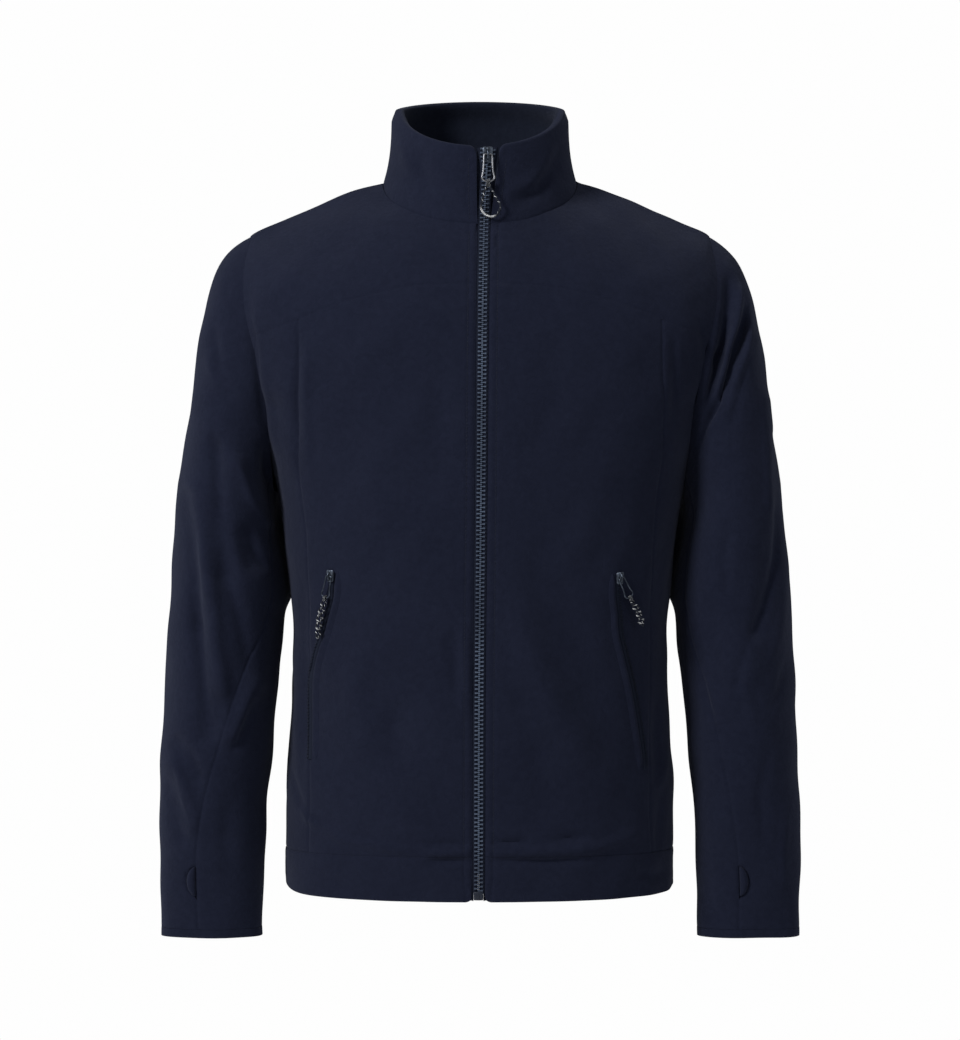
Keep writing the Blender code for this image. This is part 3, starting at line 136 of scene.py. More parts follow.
# Where each sleeve's front seam runs, as an angle from the outer side round the front
SeamTurn = namedtuple("SeamTurn", "z left right back")
SLEEVE_SEAMS = [SeamTurn(*row) for row in (
    (-315, 150, 150, 240),
    (-430, 143, 134, 244),
    (-491, 130, 112, 248),
    (-560, 117, 94, 250),
    (-610, 110, 83, 252),
    (-668, 104, 76, 254),
    (-746, 102, 77, 256),
)]
THUMB_Z = -685.0
THUMB_HALF_HEIGHT = 15.0
THUMB_WIDTH = 10.0
THUMB_BULGE = 3.0
THUMB_GAP = 0.7
THUMB_ROUND = 0.6
THUMB_ROWS = 27
THUMB_COLUMNS = 15
THUMB_LEVELS = 25
THUMB_FILLED = 0.97
FOREARM_RADIUS = 50.0

# Collar, measured at the outside of its top edge
COLLAR_TOP_WIDTH = 88.5
COLLAR_TOP_FRONT = 82.0
COLLAR_TOP_BACK = 79.0
COLLAR_TOP_SIDE_Z = 82.0
COLLAR_TOP_FRONT_Z = 36.0
COLLAR_TOP_BACK_Z = 98.0
COLLAR_FLARE = 3.0
COLLAR_SADDLE = 1.15
COLLAR_SLOPE_RANGE = (0.01, 0.98)
COLLAR_EDGE_POWER = 6
COLLAR_TOP_ROUND = 1.6

# Zip line, as heights and the sideways place of its middle there
ZIP_LINE = ((-702, -1.5), (-520, -1.0), (-320, 0.8), (-120, 2.6), (-42, 4.0), (36, 8.0))
FRONT_EDGE = 6.2
COLLAR_EDGE = 11.5
TAPE_HALF = 15.0
ZIP_CALM = 28.0
TAPE_CLEAR = 0.9
ZIP_BOX_Z = -691.5
ZIP_FOOT_Z = -687.0
ZIP_PART_Z = 15.0
ZIP_PART_SPAN = 10.0
ZIP_PART_WIDTH = 3.2

# Panel seams on the front: the princess seam's distance from the middle, the yoke seam's height
PRINCESS = ((-150, 177), (-200, 178.5), (-260, 178), (-340, 170), (-420, 167), (-580, 166), (-702, 170))
YOKE_SEAM = ((0, -101), (57, -102.5), (100, -110), (150, -124), (185, -138), (230, -152))

# Soft folds on the front and back: a line in x and z, half width and height, all in mm
Fold = namedtuple("Fold", "face x0 z0 x1 z1 width height")
FOLD_FACING = 1.6
FOLD_END_LOW = 60
FOLD_END_HIGH = 50
FOLD_END_CUFF = 30


def folds_on(face, rows):
    """Folds on one face."""
    return [Fold(face, *row) for row in rows]


BODY_FOLDS = folds_on("front", (
    (24, -437, 108, -561, 22, 3.5),
    (62, -403, 125, -556, 20, -3.0),
    (36, -508, 68, -600, 18, -2.5),
    (-78, -512, -82, -552, 24, -3.0),
    (-150, -462, -118, -540, 22, 2.5),
    (-205, -220, -206, -290, 12, -4.0),
    (205, -220, 206, -290, 12, -4.0),
)) + folds_on("back", (
    (-90, -120, -30, -330, 30, -3.0),
    (100, -140, 45, -350, 28, -3.0),
    (-140, -420, -60, -600, 26, 3.0),
    (135, -410, 75, -590, 26, 3.0),
    (0, -480, 10, -640, 30, -3.0),
))
RIGHT_SLEEVE_FOLDS = folds_on("front", (
    (-283, -300, -266, -400, 11, 4.0),
    (-266, -400, -252, -490, 11, 4.5),
    (-287, -306, -278, -434, 9, -4.0),
    (-278, -434, -268, -540, 9, -3.5),
    (-260, -260, -250, -385, 10, -4.5),
    (-238, -276, -210, -330, 10, 4.5),
    (-230, -345, -222, -372, 10, -4.5),
    (-222, -491, -243, -537, 10, 4.0),
    (-302, -570, -286, -628, 9, 3.5),
    (-306, -590, -292, -640, 8, -3.0),
    (-297, -548, -280, -583, 8, -3.0),
)) + folds_on("back", (
    (-268, -300, -250, -420, 14, -4.0),
    (-240, -440, -290, -490, 13, 4.0),
    (-235, -500, -285, -545, 12, -3.5),
    (-290, -590, -250, -640, 12, 3.0),
))
LEFT_SLEEVE_FOLDS = folds_on("front", (
    (250, -95, 238, -170, 9, -4.0),
    (238, -170, 224, -222, 8, -4.0),
    (264, -122, 244, -208, 8, -4.5),
    (258, -105, 240, -190, 8, 3.5),
    (268, -152, 250, -214, 8, 3.0),
    (283, -215, 291, -310, 11, 4.0),
    (291, -250, 296, -320, 9, -3.5),
    (294, -330, 272, -437, 10, -4.0),
    (240, -420, 262, -480, 14, 2.5),
)) + folds_on("back", (
    (268, -290, 250, -410, 14, -4.0),
    (238, -430, 288, -485, 13, 4.0),
    (240, -500, 290, -540, 12, -3.5),
    (292, -585, 248, -650, 12, 3.0),
))
SLEEVE_FOLDS = {1: LEFT_SLEEVE_FOLDS, -1: RIGHT_SLEEVE_FOLDS}

# Pocket zips, from the slider down
LEFT_POCKET = ((134, -382), (133.5, -402), (135.5, -420), (137, -440), (143, -465), (150, -495),
               (156, -530), (160.5, -560), (161, -573))
RIGHT_POCKET = ((-143.5, -380), (-144.5, -404), (-149, -422), (-154, -440), (-160, -458), (-165, -480),
                (-166, -505), (-166, -535), (-166, -563))
POCKETS = {1: LEFT_POCKET, -1: RIGHT_POCKET}
LIP_HALF = 3.2
LIP_OFFSET = 6.2

# Sliders and pulls, in the slider's own frame: lateral, inward and up
SLIDER_Z = 26.0
POCKET_SLIDER_SCALE = 0.78
HINGE_OUT = 4.0
BAIL_WIDTH = 0.85 * 1.25
BAIL_FLATNESS = 0.66
TAB_WIRE = 0.8
TAB_OUTLINE = ((3.4, 0), (4.0, -1.2), (4.3, -8), (4.6, -15), (5.2, -19), (6.2, -22.5), (5.2, -25.4),
               (2.6, -26.8))
TAB_FOOT = -27.2
KNOT_Z = -30.5
BAIL_ARCH = ((0, -1.4, -5.2), (0, -3.6, -5.2), (0, -5.7, -3.6), (0, -6.5, -1.0), (0, -6.3, 2.0),
             (0, -4.8, 4.6), (0, -3.0, 5.6), (0, -1.4, 5.6))
MAIN_CORD = ((1.6, 0, -32.7), (5.2, 0, -37.2), (7.5, 0, -43), (11.4, 0, -49.9), (11.0, 0, -54.6),
             (8.2, 0, -59.6), (3.0, 0, -61.6), (-3.0, 0, -59.6), (-6.6, 0, -55), (-7.0, 0, -50.5),
             (-5.2, 0, -43), (-3.8, 0, -37), (-1.6, 0, -32.7))
MAIN_CORD_POINTS = 34
MAIN_TILT = 4.5
POCKET_TILT = 2.5
POCKET_LEAN = {"left": -28.0, "right": 13.0}
POCKET_SLIDER_DOWN = 4.0
POCKET_SLIDER_LIFT = 1.75
CORD_RADIUS = 1.0
Twist = namedtuple("Twist", "length turns")
POCKET_CORD = {"left": Twist(24.0, 1.6), "right": Twist(33.0, 2.2)}
CORD_STEPS_PER_TURN = 7
POCKET_CORD_RADIUS = 1.9
POCKET_CORD_SWELL = 0.5
POCKET_CORD_DROP = 2.3
POCKET_CORD_BEND = 2.4
POCKET_CORD_SWAY = 1.5
ROUTE_STEPS = 24

# Fineness of the cloth's grids in mm, and the rows that lie close to a seam or a topstitched edge
CLOTH_STEP = 3.3
SEAM_ROWS = (0, 0.5, 1.1, 1.9, 3.0, 4.6)
STITCH_ROWS = (0, 0.5, 1.1, 1.9, 3.0, 4.6, 6.2, 7.2, 8.0, 8.8, 9.8, 12.0)
OPEN_ROWS = (0, 1.5, 3.5)

# How cloth dips into a seam and puckers beside it, in mm
SEAM_DIP = 1.1
FIRM = 1.0
PLAIN = 0.65
SOFT = 0.3
HIDDEN = -1.0
FILL_HEIGHT = 1.8
FILL_REACH = 8.0
FILL_FROM_Z = -215.0
FILL_SPAN = 90.0
FILL_LESS = 0.5
FILL_LESS_FROM_Z = -95.0
FILL_LESS_SPAN = 40.0
PANEL_SEAMS = {"l": PLAIN, "r": PLAIN, "b": PLAIN, "t": PLAIN}
SEAM_ROUND = 1.9
PUCKER = 0.28
PUCKER_REACH = 9.0
PUCKER_WAVES = ((11.0, 0.5), (17.3, 0.3), (29.0, 0.35))
STITCH_FROM_EDGE = 8.0
STITCH_DIP = 0.5
STITCH_WIDTH = 1.3

# Slow unevenness of hanging cloth
WAVE_SEED = 11
WAVE_COUNT = 14
WAVE_LENGTHS = (34.0, 120.0)
WAVE_HEIGHT = 0.22

# Creases of the dressed cloth: half width, height, and a route of x and z, all in mm
Crease = namedtuple("Crease", "face width height route")


def creases_on(face, rows):
    """Creases on one face."""
    return [Crease(face, width, height, route) for width, height, *route in rows]


RIGHT_ARMHOLE_CREASES = creases_on("front", (
    (4.2, -1.2, (-227, -123), (-224, -148), (-220, -167), (-217, -187), (-215, -207), (-212, -231),
     (-209, -256)),
    (5.5, -5.6, (-213, -251), (-209, -281), (-203, -302), (-195, -326)),
    (4.5, 2.0, (-220, -101), (-218, -138), (-212, -169), (-210, -199), (-204, -224), (-200, -264),
     (-194, -297), (-189, -330)),
))
LEFT_ARMHOLE_CREASES = creases_on("front", (
    (5.0, -4.5, (245, -84), (246, -103), (245, -119), (241, -136), (238, -155), (233, -174), (227, -196),
     (220, -225)),
    (2.4, -5.2, (243, -125), (239, -151), (234, -172), (227, -196), (221, -220)),
    (3.0, -7.0, (264, -113), (262, -131), (257, -149), (253, -159), (248, -174), (243, -191), (235, -209),
     (226, -225), (219, -241), (215, -261)),
    (3.2, 4.2, (259, -93), (257, -116), (252, -138), (246, -155), (240, -177), (234, -200), (229, -214)),
    (3.6, 4.2, (268, -125), (266, -146), (263, -162), (256, -180), (249, -200), (241, -222)),
    (5.0, -2.6, (214, -133), (219, -153), (226, -176)),
))
RIGHT_SLEEVE_CREASES = creases_on("front", (
    (4.0, -1.6, (-250, -94), (-248, -110)),
    (5.0, -2.4, (-263, -135), (-260, -157), (-254, -190)),
    (5.0, 1.9, (-251, -204), (-263, -187), (-270, -162)),
    (5.0, -2.4, (-262, -241), (-258, -263), (-256, -289), (-253, -325)),
    (6.0, 3.5, (-272, -330), (-269, -369), (-263, -394), (-259, -414), (-258, -451), (-253, -485),
     (-247, -519), (-250, -545)),
    (5.0, -3.2, (-281, -320), (-278, -369), (-278, -419), (-273, -468), (-268, -510), (-263, -534),
     (-263, -549)),
    (6.5, -3.5, (-251, -355), (-246, -389), (-237, -419), (-230, -448), (-225, -476)),
    (4.0, 2.4, (-236, -273), (-224, -310), (-211, -330), (-201, -340)),
    (4.5, -3.0, (-228, -335), (-220, -362), (-209, -381)),
    (3.8, 2.7, (-223, -492), (-231, -514), (-239, -536), (-245, -551)),
    (4.0, -3.2, (-220, -502), (-228, -529), (-236, -549), (-244, -557)),
    (4.0, 2.4, (-304, -559), (-291, -585), (-281, -608), (-277, -628)),
    (4.0, -2.4, (-304, -573), (-296, -606), (-285, -635)),
    (4.0, -1.9, (-285, -551), (-276, -575), (-273, -596)),
    (7.0, -2.2, (-245, -596), (-249, -636), (-247, -685)),
))
LEFT_SLEEVE_CREASES = creases_on("front", (
    (5.0, -2.4, (263, -174), (257, -199), (250, -223), (246, -241)),
    (4.2, 2.4, (279, -192), (282, -251), (284, -297), (285, -340), (284, -364), (279, -393)),
    (4.4, -3.8, (293, -300), (294, -330), (292, -364), (286, -392), (278, -417), (271, -434), (265, -448)),
    (5.0, 1.9, (302, -369), (300, -409), (292, -448), (280, -476)),
    (5.0, -2.4, (244, -330), (239, -369), (241, -409)),
    (5.0, 2.2, (233, -448), (241, -468), (245, -496)),
    (4.5, -2.4, (262, -448), (255, -473), (252, -498)),
    (5.0, -2.2, (301, -468), (294, -498), (282, -519)),
    (5.0, 2.0, (253, -488), (263, -508), (268, -529)),
    (3.4, -2.4, (217, -484), (221, -504), (229, -527)),
    (6.0, -2.0, (286, -547), (274, -596), (280, -656)),
    (5.0, 1.8, (302, -606), (298, -656), (300, -695)),
))
FRONT_CREASES = creases_on("front", (
    (4.0, -2.6, (-176, -145), (-178, -193), (-179, -252), (-175, -291)),
    (4.0, 1.9, (-168, -155), (-169, -213), (-167, -281)),
    (4.0, -2.1, (188, -144), (189, -193), (188, -244)),
    (5.0, -2.9, (-173, -369), (-171, -457), (-172, -545), (-173, -593)),
    (5.0, 2.2, (-179, -447), (-180, -506), (-179, -564)),
    (3.5, -3.5, (-186, -575), (-180, -597), (-173, -613)),
    (3.5, 2.6, (-176, -609), (-168, -622), (-156, -628)),
    (5.0, -3.8, (173, -496), (173, -535), (174, -589)),
    (3.5, 2.9, (184, -545), (182, -569), (177, -594)),
    (4.5, -4.2, (180, -589), (177, -618), (174, -660)),
    (5.0, -2.9, (152, -672), (171, -678), (188, -676)),
    (6.0, 2.6, (-17, -421), (-14, -455), (-13, -494), (-15, -523)),
    (6.0, -2.2, (-27, -436), (-23, -470), (-24, -503)),
    (9.0, -2.4, (-79, -504), (-83, -533), (-73, -566)),
    (12.0, 2.9, (-111, -446), (-124, -495), (-104, -538)),
    (15.0, 2.4, (27, -407), (48, -455), (77, -518), (106, -567)),
    (14.0, -2.4, (73, -388), (99, -446), (120, -519)),
    (12.0, -1.8, (-37, -137), (-41, -214), (-38, -291)),
    (17.0, 1.8, (-97, -204), (-102, -291), (-91, -369)),
    (16.0, -1.6, (63, -147), (69, -224), (58, -311)),
    (2.6, -3.0, (-53, -641), (-10, -641)),
    (2.4, -2.6, (-53, -658), (-8, -657)),
    (2.4, -3.0, (8, -657), (58, -658), (116, -657)),
    (3.4, 2.1, (-65, -649), (-108, -643), (-135, -639), (-155, -626)),
    (2.6, -2.9, (10, -639), (48, -639)),
    (2.6, -2.6, (69, -636), (104, -635)),
    (5.2, 3.7, (4, -648), (48, -648), (82, -648), (116, -645), (138, -639), (160, -632)),
    (5.0, 2.9, (-54, -649), (-6, -649)),
    (3.5, 1.8, (13, -101), (20, -105), (31, -110)),
    (2.2, -1.4, (16, -53), (17, -66)),
))
FRONT_CREASES += RIGHT_ARMHOLE_CREASES + LEFT_ARMHOLE_CREASES
BACK_CREASES = creases_on("back", (
    (5.5, -2.6, (-246, -84), (-243, -120), (-236, -160), (-226, -200), (-216, -232)),
    (5.5, -2.6, (247, -80), (245, -116), (238, -156), (229, -196), (218, -236)),
    (7.0, 2.2, (-226, -96), (-222, -140), (-212, -190), (-201, -240), (-193, -290)),
    (7.0, 2.2, (228, -90), (225, -136), (216, -186), (203, -236), (194, -292)),
    (9.0, -1.8, (-60, -118), (-20, -128), (32, -126), (74, -112)),
    (10.0, 1.6, (-150, -470), (-112, -540), (-78, -620)),
    (9.0, -1.8, (152, -440), (118, -520), (96, -610)),
    (9.0, -1.6, (-34, -500), (-22, -570), (-30, -640)),
))
COLLAR_CREASES = creases_on("front", (
    (7.0, -4.6, (84, 40), (79, 31), (58, -6), (41, -17), (30, -20)),
    (6.5, 2.8, (72, 40), (64, 14), (46, -4), (24, -10)),
    (7.0, 3.0, (-84, 46), (-74, 30), (-66, 10)),
    (6.0, -2.2, (-62, 30), (-56, 10), (-48, -12)),
    (3.2, -2.2, (-100, 37), (-88, 35), (-74, 33)),
    (3.2, -2.0, (-100, 25), (-88, 26), (-76, 29)),
    (4.2, -2.6, (-104, 3), (-92, 5), (-78, 9)),
    (4.0, 1.6, (-98, 14), (-84, 4), (-62, -12), (-40, -20)),
    (4.5, -2.0, (96, 4), (86, 8), (74, 14)),
)) + creases_on("back", (
    (8.0, -2.2, (-60, 10), (-30, 30), (0, 36), (40, 26)),
))
SLEEVE_BACK_CREASES = creases_on("back", (
    (5.5, -2.4, (250, -270), (262, -330), (256, -390), (244, -430)),
    (5.0, 2.0, (266, -262), (280, -330), (276, -392), (262, -440)),
    (5.0, -2.4, (236, -452), (262, -474), (288, -492)),
    (5.5, 2.2, (240, -474), (266, -500), (290, -512)),
    (5.0, -2.0, (244, -510), (266, -534), (288, -548)),
    (5.0, -1.6, (286, -590), (268, -620), (256, -660)),
    (6.0, 1.5, (294, -600), (284, -640), (288, -690)),
))
RIGHT_SLEEVE_CREASES += RIGHT_ARMHOLE_CREASES + [
    crease._replace(route=[(-x - 4, z + 9) for x, z in crease.route]) for crease in SLEEVE_BACK_CREASES]
LEFT_SLEEVE_CREASES += LEFT_ARMHOLE_CREASES + SLEEVE_BACK_CREASES
SLEEVE_CREASES = {1: LEFT_SLEEVE_CREASES, -1: RIGHT_SLEEVE_CREASES}
CREASE_TAPER = 0.6

# Rough sizes of the panels in mm, which set how many rows and columns they get
SIDE_LENGTH = HEM_SEAM_DROP - UNDERARM_DROP
FRONT_LENGTH = 540
CENTRE_WIDTH = 170
FLANK_WIDTH = 62
YOKE_WIDTH = 240
YOKE_LENGTH = 105
YOKE_SPLIT = 2 / 3
BACK_LENGTH = 650
BACK_LOW_LENGTH = 545
BACK_CENTRE_WIDTH = 230
BACK_SIDE_WIDTH = 130
SHOULDER_SHARE = 1 / 6
UNDER_SLEEVE_WIDTH = 130
UPPER_SLEEVE_WIDTH = 260
HEM_HEIGHT = 46
HEM_FRONT_LENGTH = 290
HEM_BACK_LENGTH = 560

# Where the back's seams run, as shares of its height from the hem seam and of its width
BACK_YOKE_SHARE = SIDE_LENGTH / BACK_LENGTH + (1 - SIDE_LENGTH / BACK_LENGTH) * 7 / 12
BACK_SIDE_SHARE = 5 / 18

# Edges and corners of the collar, the hem and the cuffs
COLLAR_CORNER = 8.0
HEM_CORNER = 6.0
HEM_SIDE_LIFT = 9.0
HEM_SIDE_SPAN = 0.36
COLLAR_STATIONS = 132
COLLAR_SHARES = (0, 0.008, 0.018, 0.032, 0.05, 0.08, 0.12, 0.17, 0.23, 0.29, 0.35, 0.41, 0.47, 0.53,
                 0.59, 0.65, 0.71, 0.77, 0.83, 0.89, 0.945)
COLLAR_END_SHARES = (0, 0.0012, 0.003, 0.006, 0.01, 0.015)
COLLAR_ROLL_STEPS = 10
COLLAR_ROLL_IN = 3.4
COLLAR_ROLL_NEAR = 5.0
COLLAR_ROLL_THICK = 9.0
COLLAR_ROLL_FAR = 10.0
COLLAR_ROLL_FROM = 1.4
CUFF_TURNS = 96
CUFF_ROWS = 9

# Zip teeth, in mm: pitch, and one tooth's outline as distance from the middle and half height
TOOTH_PITCH = 4.0
TOOTH_OUTLINE = ((-0.95, 0.62), (-0.2, 0.86), (0.45, 0.78), (1.0, 0.52), (4.2, 0.95))
TOOTH_INSET = 0.8
TOOTH_TOP = 0.5
TOOTH_SHOULDER = 0.05
TOOTH_FOOT = -3.0
TOOTH_TOP_SHARE = 0.78
TAPE_TOP = -(WALL / MM + TAPE_CLEAR)
TAPE_THICKNESS = 0.8
CHAIN_HALF = 4.3
COLLAR_TAPE_GAP = 0.6
TAPE_SHORTEST = 0.3
ZIP_TOP_Z = 33.0
TAPE_STEP = 5.0
TAPE_FOOT_Z = -696.0

# Round the tape's cross-section: distance from the middle, height, share of the way to its edge
TAPE_PROFILE = (
    (0.9, -1.4, 0), (2.6, -0.7, 0), (4.4, -0.7, 0), (5.75, -0.9, 0), (6.0, TAPE_TOP, 0), (0.0, TAPE_TOP, 0.5),
    (0.0, TAPE_TOP, 1), (0.0, TAPE_TOP - TAPE_THICKNESS, 1), (0.9, TAPE_TOP - TAPE_THICKNESS, 0),
)

# The box at the foot: its outline, and the groove and one bar on its face
BOX_OUTLINE = ((0, 4.4), (4.2, 4.4), (4.7, 3.8), (4.7, -2.6), (4.0, -3.7), (0, -3.8))
BOX_GROOVE = ((0.5, -1.25, 3.3), (0.5, -1.35, 0), (0.5, -1.25, -3.2))
BOX_BAR = ((-3.6, -1.15), (-1.6, -1.22), (-0.4, -1.15))
BOX_BAR_PLACES = (-2.0, 0.1, 2.2)
BOX_CUT = (-1.1, 3.7, 0.7)
GROOVE_RADIUS = 0.42
BAR_RADIUS = 0.34

# One stitch of topstitching in mm
STITCH_PITCH = 3.8
STITCH_LENGTH = 2.7
STITCH_RADIUS = 0.27

# The slider's outline as lateral and up, one side, and its thickness, in mm
SLIDER_OUTLINE = ((0, 6.9), (1.6, 7.4), (3.9, 7.3), (4.8, 6.0), (4.75, 2.5), (4.3, -2.0), (4.1, -6.2),
                  (3.4, -7.3), (0, -7.5))
SLIDER_FACE = -2.45
SLIDER_BACK = -0.95
BEVEL_SHARE = 0.3
SLIDER_BEVEL = 0.45

# Its ridge, side rails, rivets, back plate and the wedge between the plates; a cut is front, back, bevel
SLIDER_RIDGE = ((0.1, 6.4), (-0.25, 5.4), (-0.25, -5.6), (0.1, -6.8))
RIDGE_RADIUS = 0.9
RIDGE_FLATNESS = 0.45
SLIDER_RAIL = ((4.45, 0.1, 5.4), (4.4, 0.25, 2.0), (4.05, 0.25, -2.4), (3.75, 0.1, -6.2))
RAIL_RADIUS = 0.55
RIVET = ((0.2, -1.0), (1.05, -0.85), (1.5, -0.35), (1.6, 0.2), (1.6, 0.6))
RIVET_PLACES = (5.6, -5.2)
SLIDER_BACK_OUTLINE = ((0, 6.6), (3.2, 6.5), (4.4, 5.2), (4.3, 0), (3.9, -4.6), (2.6, -5.9), (0, -5.9))
SLIDER_BACK_CUT = (4.25, 5.35, 0.4)
SLIDER_WEDGE = ((0, 7.2), (1.5, 6.0), (1.2, 4.4), (0, 3.6))
SLIDER_WEDGE_CUT = (-1.2, 4.6, 0.2)

# The sheen of the nap, and the colours
SHEEN_ROUGHNESS = 0.55
SHEEN_TINT = (0.60, 0.66, 0.92, 1.0)
NAVY_DEEP = (0.0062, 0.0078, 0.0172, 1.0)
NAVY_NAP = (0.0104, 0.0128, 0.0262, 1.0)
# Darker fleece for the collar's inner face: painted shade where the collar's front keeps the light out
SHADED_INSIDE_DEEP = (0.0052, 0.0068, 0.0130, 1.0)
SHADED_INSIDE_NAP = (0.0086, 0.0110, 0.0196, 1.0)
BOX_DARK = (0.010, 0.013, 0.023, 1.0)
BOX_LIGHT = (0.024, 0.030, 0.049, 1.0)
NAVY_TAPE = (0.0110, 0.0145, 0.0250, 1.0)
TEETH_DARK = (0.028, 0.038, 0.062, 1.0)
TEETH_LIGHT = (0.066, 0.088, 0.134, 1.0)
# The pocket coil's dark navy, made darker still as painted shade of the pocket's recess
COIL_SHADED_DARK = (0.0022, 0.0034, 0.0080, 1.0)
COIL_SHADED_LIGHT = (0.0040, 0.0062, 0.0145, 1.0)
METAL_DARK = (0.018, 0.023, 0.034, 1.0)
# Lighter colours for the metal's sharp edges: partly rubbed metal, partly painted glints
METAL_RUBBED_GLINT = (0.20, 0.24, 0.31, 1.0)
METAL_LIGHT = (0.36, 0.37, 0.40, 1.0)
CORD_DARK = (0.006, 0.008, 0.014, 1.0)
CORD_LIGHT = (0.80, 0.82, 0.84, 1.0)
CORD_MIDDLE = (0.014, 0.017, 0.026, 1.0)
THREAD_DARK = (0.0080, 0.0100, 0.0190, 1.0)
THREAD_LIGHT = (0.0140, 0.0170, 0.0290, 1.0)
NAVY_FLECK = (0.018, 0.022, 0.040, 1.0)
FLOOR_PALE = (0.80, 0.80, 0.80, 1.0)
FLOOR_WHITE = (0.86, 0.86, 0.86, 1.0)
FLEECE_SHEEN = 0.06

# Pocket trims in mm: the tape's and lip's cross-sections as share of the width and height, and the coil
COIL_HALF = 2.4
COIL_TAPE = ((0.0, -0.4), (0.12, 0.7), (0.5, 0.9), (0.88, 0.7), (1.0, -0.4), (0.5, -1.0))
LIP_SHAPE = ((-0.06, -0.6), (0.0, 0.3), (0.1, 1.35), (0.24, 1.95), (0.4, 2.0), (0.56, 1.65), (0.72, 1.05),
             (0.87, 0.5), (1.0, 0.05), (1.06, -0.6))
LIP_TAPER = 0.07
COIL_PITCH = 1.7
COIL_ASIDE = 0.55
COIL_LENGTH = 1.9
COIL_WIRE = 0.5
COIL_LIFT = 1.1
COIL_SLANT = 0.12
COIL_POINTS = 260
TAPE_RINGS = 70
LIP_RINGS = 90
THINNEST = 0.03
POCKET_SINK = 0.3
RAY_START_Y = -0.5

# Knots of the pulls in mm
KNOT_STEPS = 72
KNOT_RING = 1.15
KNOT_TUBE = 0.62
KNOT_STRETCH = (1.15, 1.5, 0.95)
KNOT_CORD = 0.85
KNOT_ASIDE = 1.0
KNOT_OVER = 1.75
KNOT_OVER_PAST = 0.5
KNOT_OVER_STEPS = 15
KNOT_CORE = ((0.1, -0.9), (1.0, -0.6), (1.3, 0), (1.0, 0.6), (0.1, 0.9))
TUBE_WAY = (0.31, 0.17, 0.93)
TURNED_SIDES = 20
CORD_RINGS = 120
POCKET_CORD_RINGS = 200

# Where the topstitching runs, as heights and steps in mm, and the arch of one stitch
HEM_STITCH_Z = -650.0
ZIP_STITCH_TOP = -46.0
COLLAR_STITCH = (-38.0, 24.0, 1.5)
FRONT_STITCH_STEP = 1.9
STITCH_ARCH = ((0.0, -0.25), (0.15, 0.1), (0.5, 0.22), (0.85, 0.1), (1.0, -0.25))

# The photograph's camera, and the light
SENSOR = 36.0
LENS = 110.77
FAR_END = 60.0
EYE = (0.0, -3.2, -0.33)
FLOOR_Z = -1.42
FLOOR_SIDES = 96
FLOOR_RINGS = ((0.5, 0), (1.0, 0), (1.5, 0), (1.9, 0), (2.05, 0.004), (2.1, 0.02))
WORLD_COLOUR = (0.99, 0.99, 0.99, 1.0)
WORLD_STRENGTH = 1.0
WORLD_ON_CLOTH = 0.30
LAMPS = (
    ("key", (-2.2, -2.0, 1.45), (0, 0, -0.35), (0.8, 1.0), 124.0, (1.0, 0.99, 0.98)),
    ("fill", (2.3, -2.3, 0.4), (0, 0, -0.4), (1.3, 1.6), 15.0, (0.96, 0.98, 1.0)),
    ("left rim", (-2.6, 0.9, 0.1), (0, 0, -0.4), (0.9, 1.8), 14.0, (0.96, 0.99, 1.0)),
    ("right rim", (2.6, 0.9, 0.1), (0, 0, -0.4), (0.9, 1.8), 8.0, (0.96, 0.99, 1.0)),
    ("top", (0.2, 0.9, 2.2), (0, 0, -0.3), (1.4, 1.2), 6.0, (1.0, 1.0, 1.0)),
)


def smooth_curve(stations, values):
    """A smooth curve through the given values that never swings past them."""
    x = np.asarray(stations, float)
    y = np.asarray(values, float)
    if x[0] > x[-1]:
        x = x[::-1]
        y = y[::-1]
    gap = np.diff(x)
    slope = np.diff(y) / gap
    turn = np.zeros_like(y)
    turn[0] = slope[0]
    turn[-1] = slope[-1]
    before = slope[:-1]
    after = slope[1:]
    same = before * after > 0
    weight_a = 2 * gap[1:] + gap[:-1]
    weight_b = gap[1:] + 2 * gap[:-1]
    safe_before = np.where(same, before, 1.0)
    safe_after = np.where(same, after, 1.0)
    mean = (weight_a + weight_b) / (weight_a / safe_before + weight_b / safe_after)
    turn[1:-1] = np.where(same, mean, 0.0)

    def at(place):
        place = np.clip(np.asarray(place, float), x[0], x[-1])
        k = np.clip(np.searchsorted(x, place, side="right") - 1, 0, len(gap) - 1)
        t = (place - x[k]) / gap[k]
        h00 = (1 + 2 * t) * (1 - t) ** 2
        h10 = t * (1 - t) ** 2
        h01 = t * t * (3 - 2 * t)
        h11 = t * t * (t - 1)
        return h00 * y[k] + h10 * gap[k] * turn[k] + h01 * y[k + 1] + h11 * gap[k] * turn[k + 1]

    return at


def column_curves(table, station, names):
    """One smooth curve for each named column of a table."""
    places = [getattr(row, station) for row in table]
    return {name: smooth_curve(places, [getattr(row, name) for row in table]) for name in names}


NECK_FRONT_Z = TORSO[0].front_rise - TORSO[0].drop
COLLAR_FRONT_RISE = COLLAR_TOP_FRONT_Z - NECK_FRONT_Z
TORSO_AT = column_curves(TORSO, "drop", Section._fields[1:])
SLEEVE_AT = column_curves(SLEEVE, "z", Cuff._fields[1:])
SEAM_AT = column_curves(SLEEVE_SEAMS, "z", SeamTurn._fields[1:])
ZIP_X = smooth_curve(*zip(*ZIP_LINE))
PRINCESS_X = smooth_curve(*zip(*PRINCESS))
YOKE_Z = smooth_curve(*zip(*YOKE_SEAM))


def unit(way):
    """The same directions at unit length."""
    return way / np.linalg.norm(way, axis=-1, keepdims=True)


def hump(away, width):
    """A smooth hump of height 1, at distances from its middle."""
    return np.exp(-(away / width) ** 2)


def ramp(value, start, span):
    """0 up to a start, 1 from a span past it, and even between."""
    return np.clip((value - start) / span, 0, 1)


def run_along(points):
    """Distance of each point from the first, along the line through them."""
    return np.concatenate([[0], np.cumsum(np.linalg.norm(np.diff(points, axis=0), axis=1))])


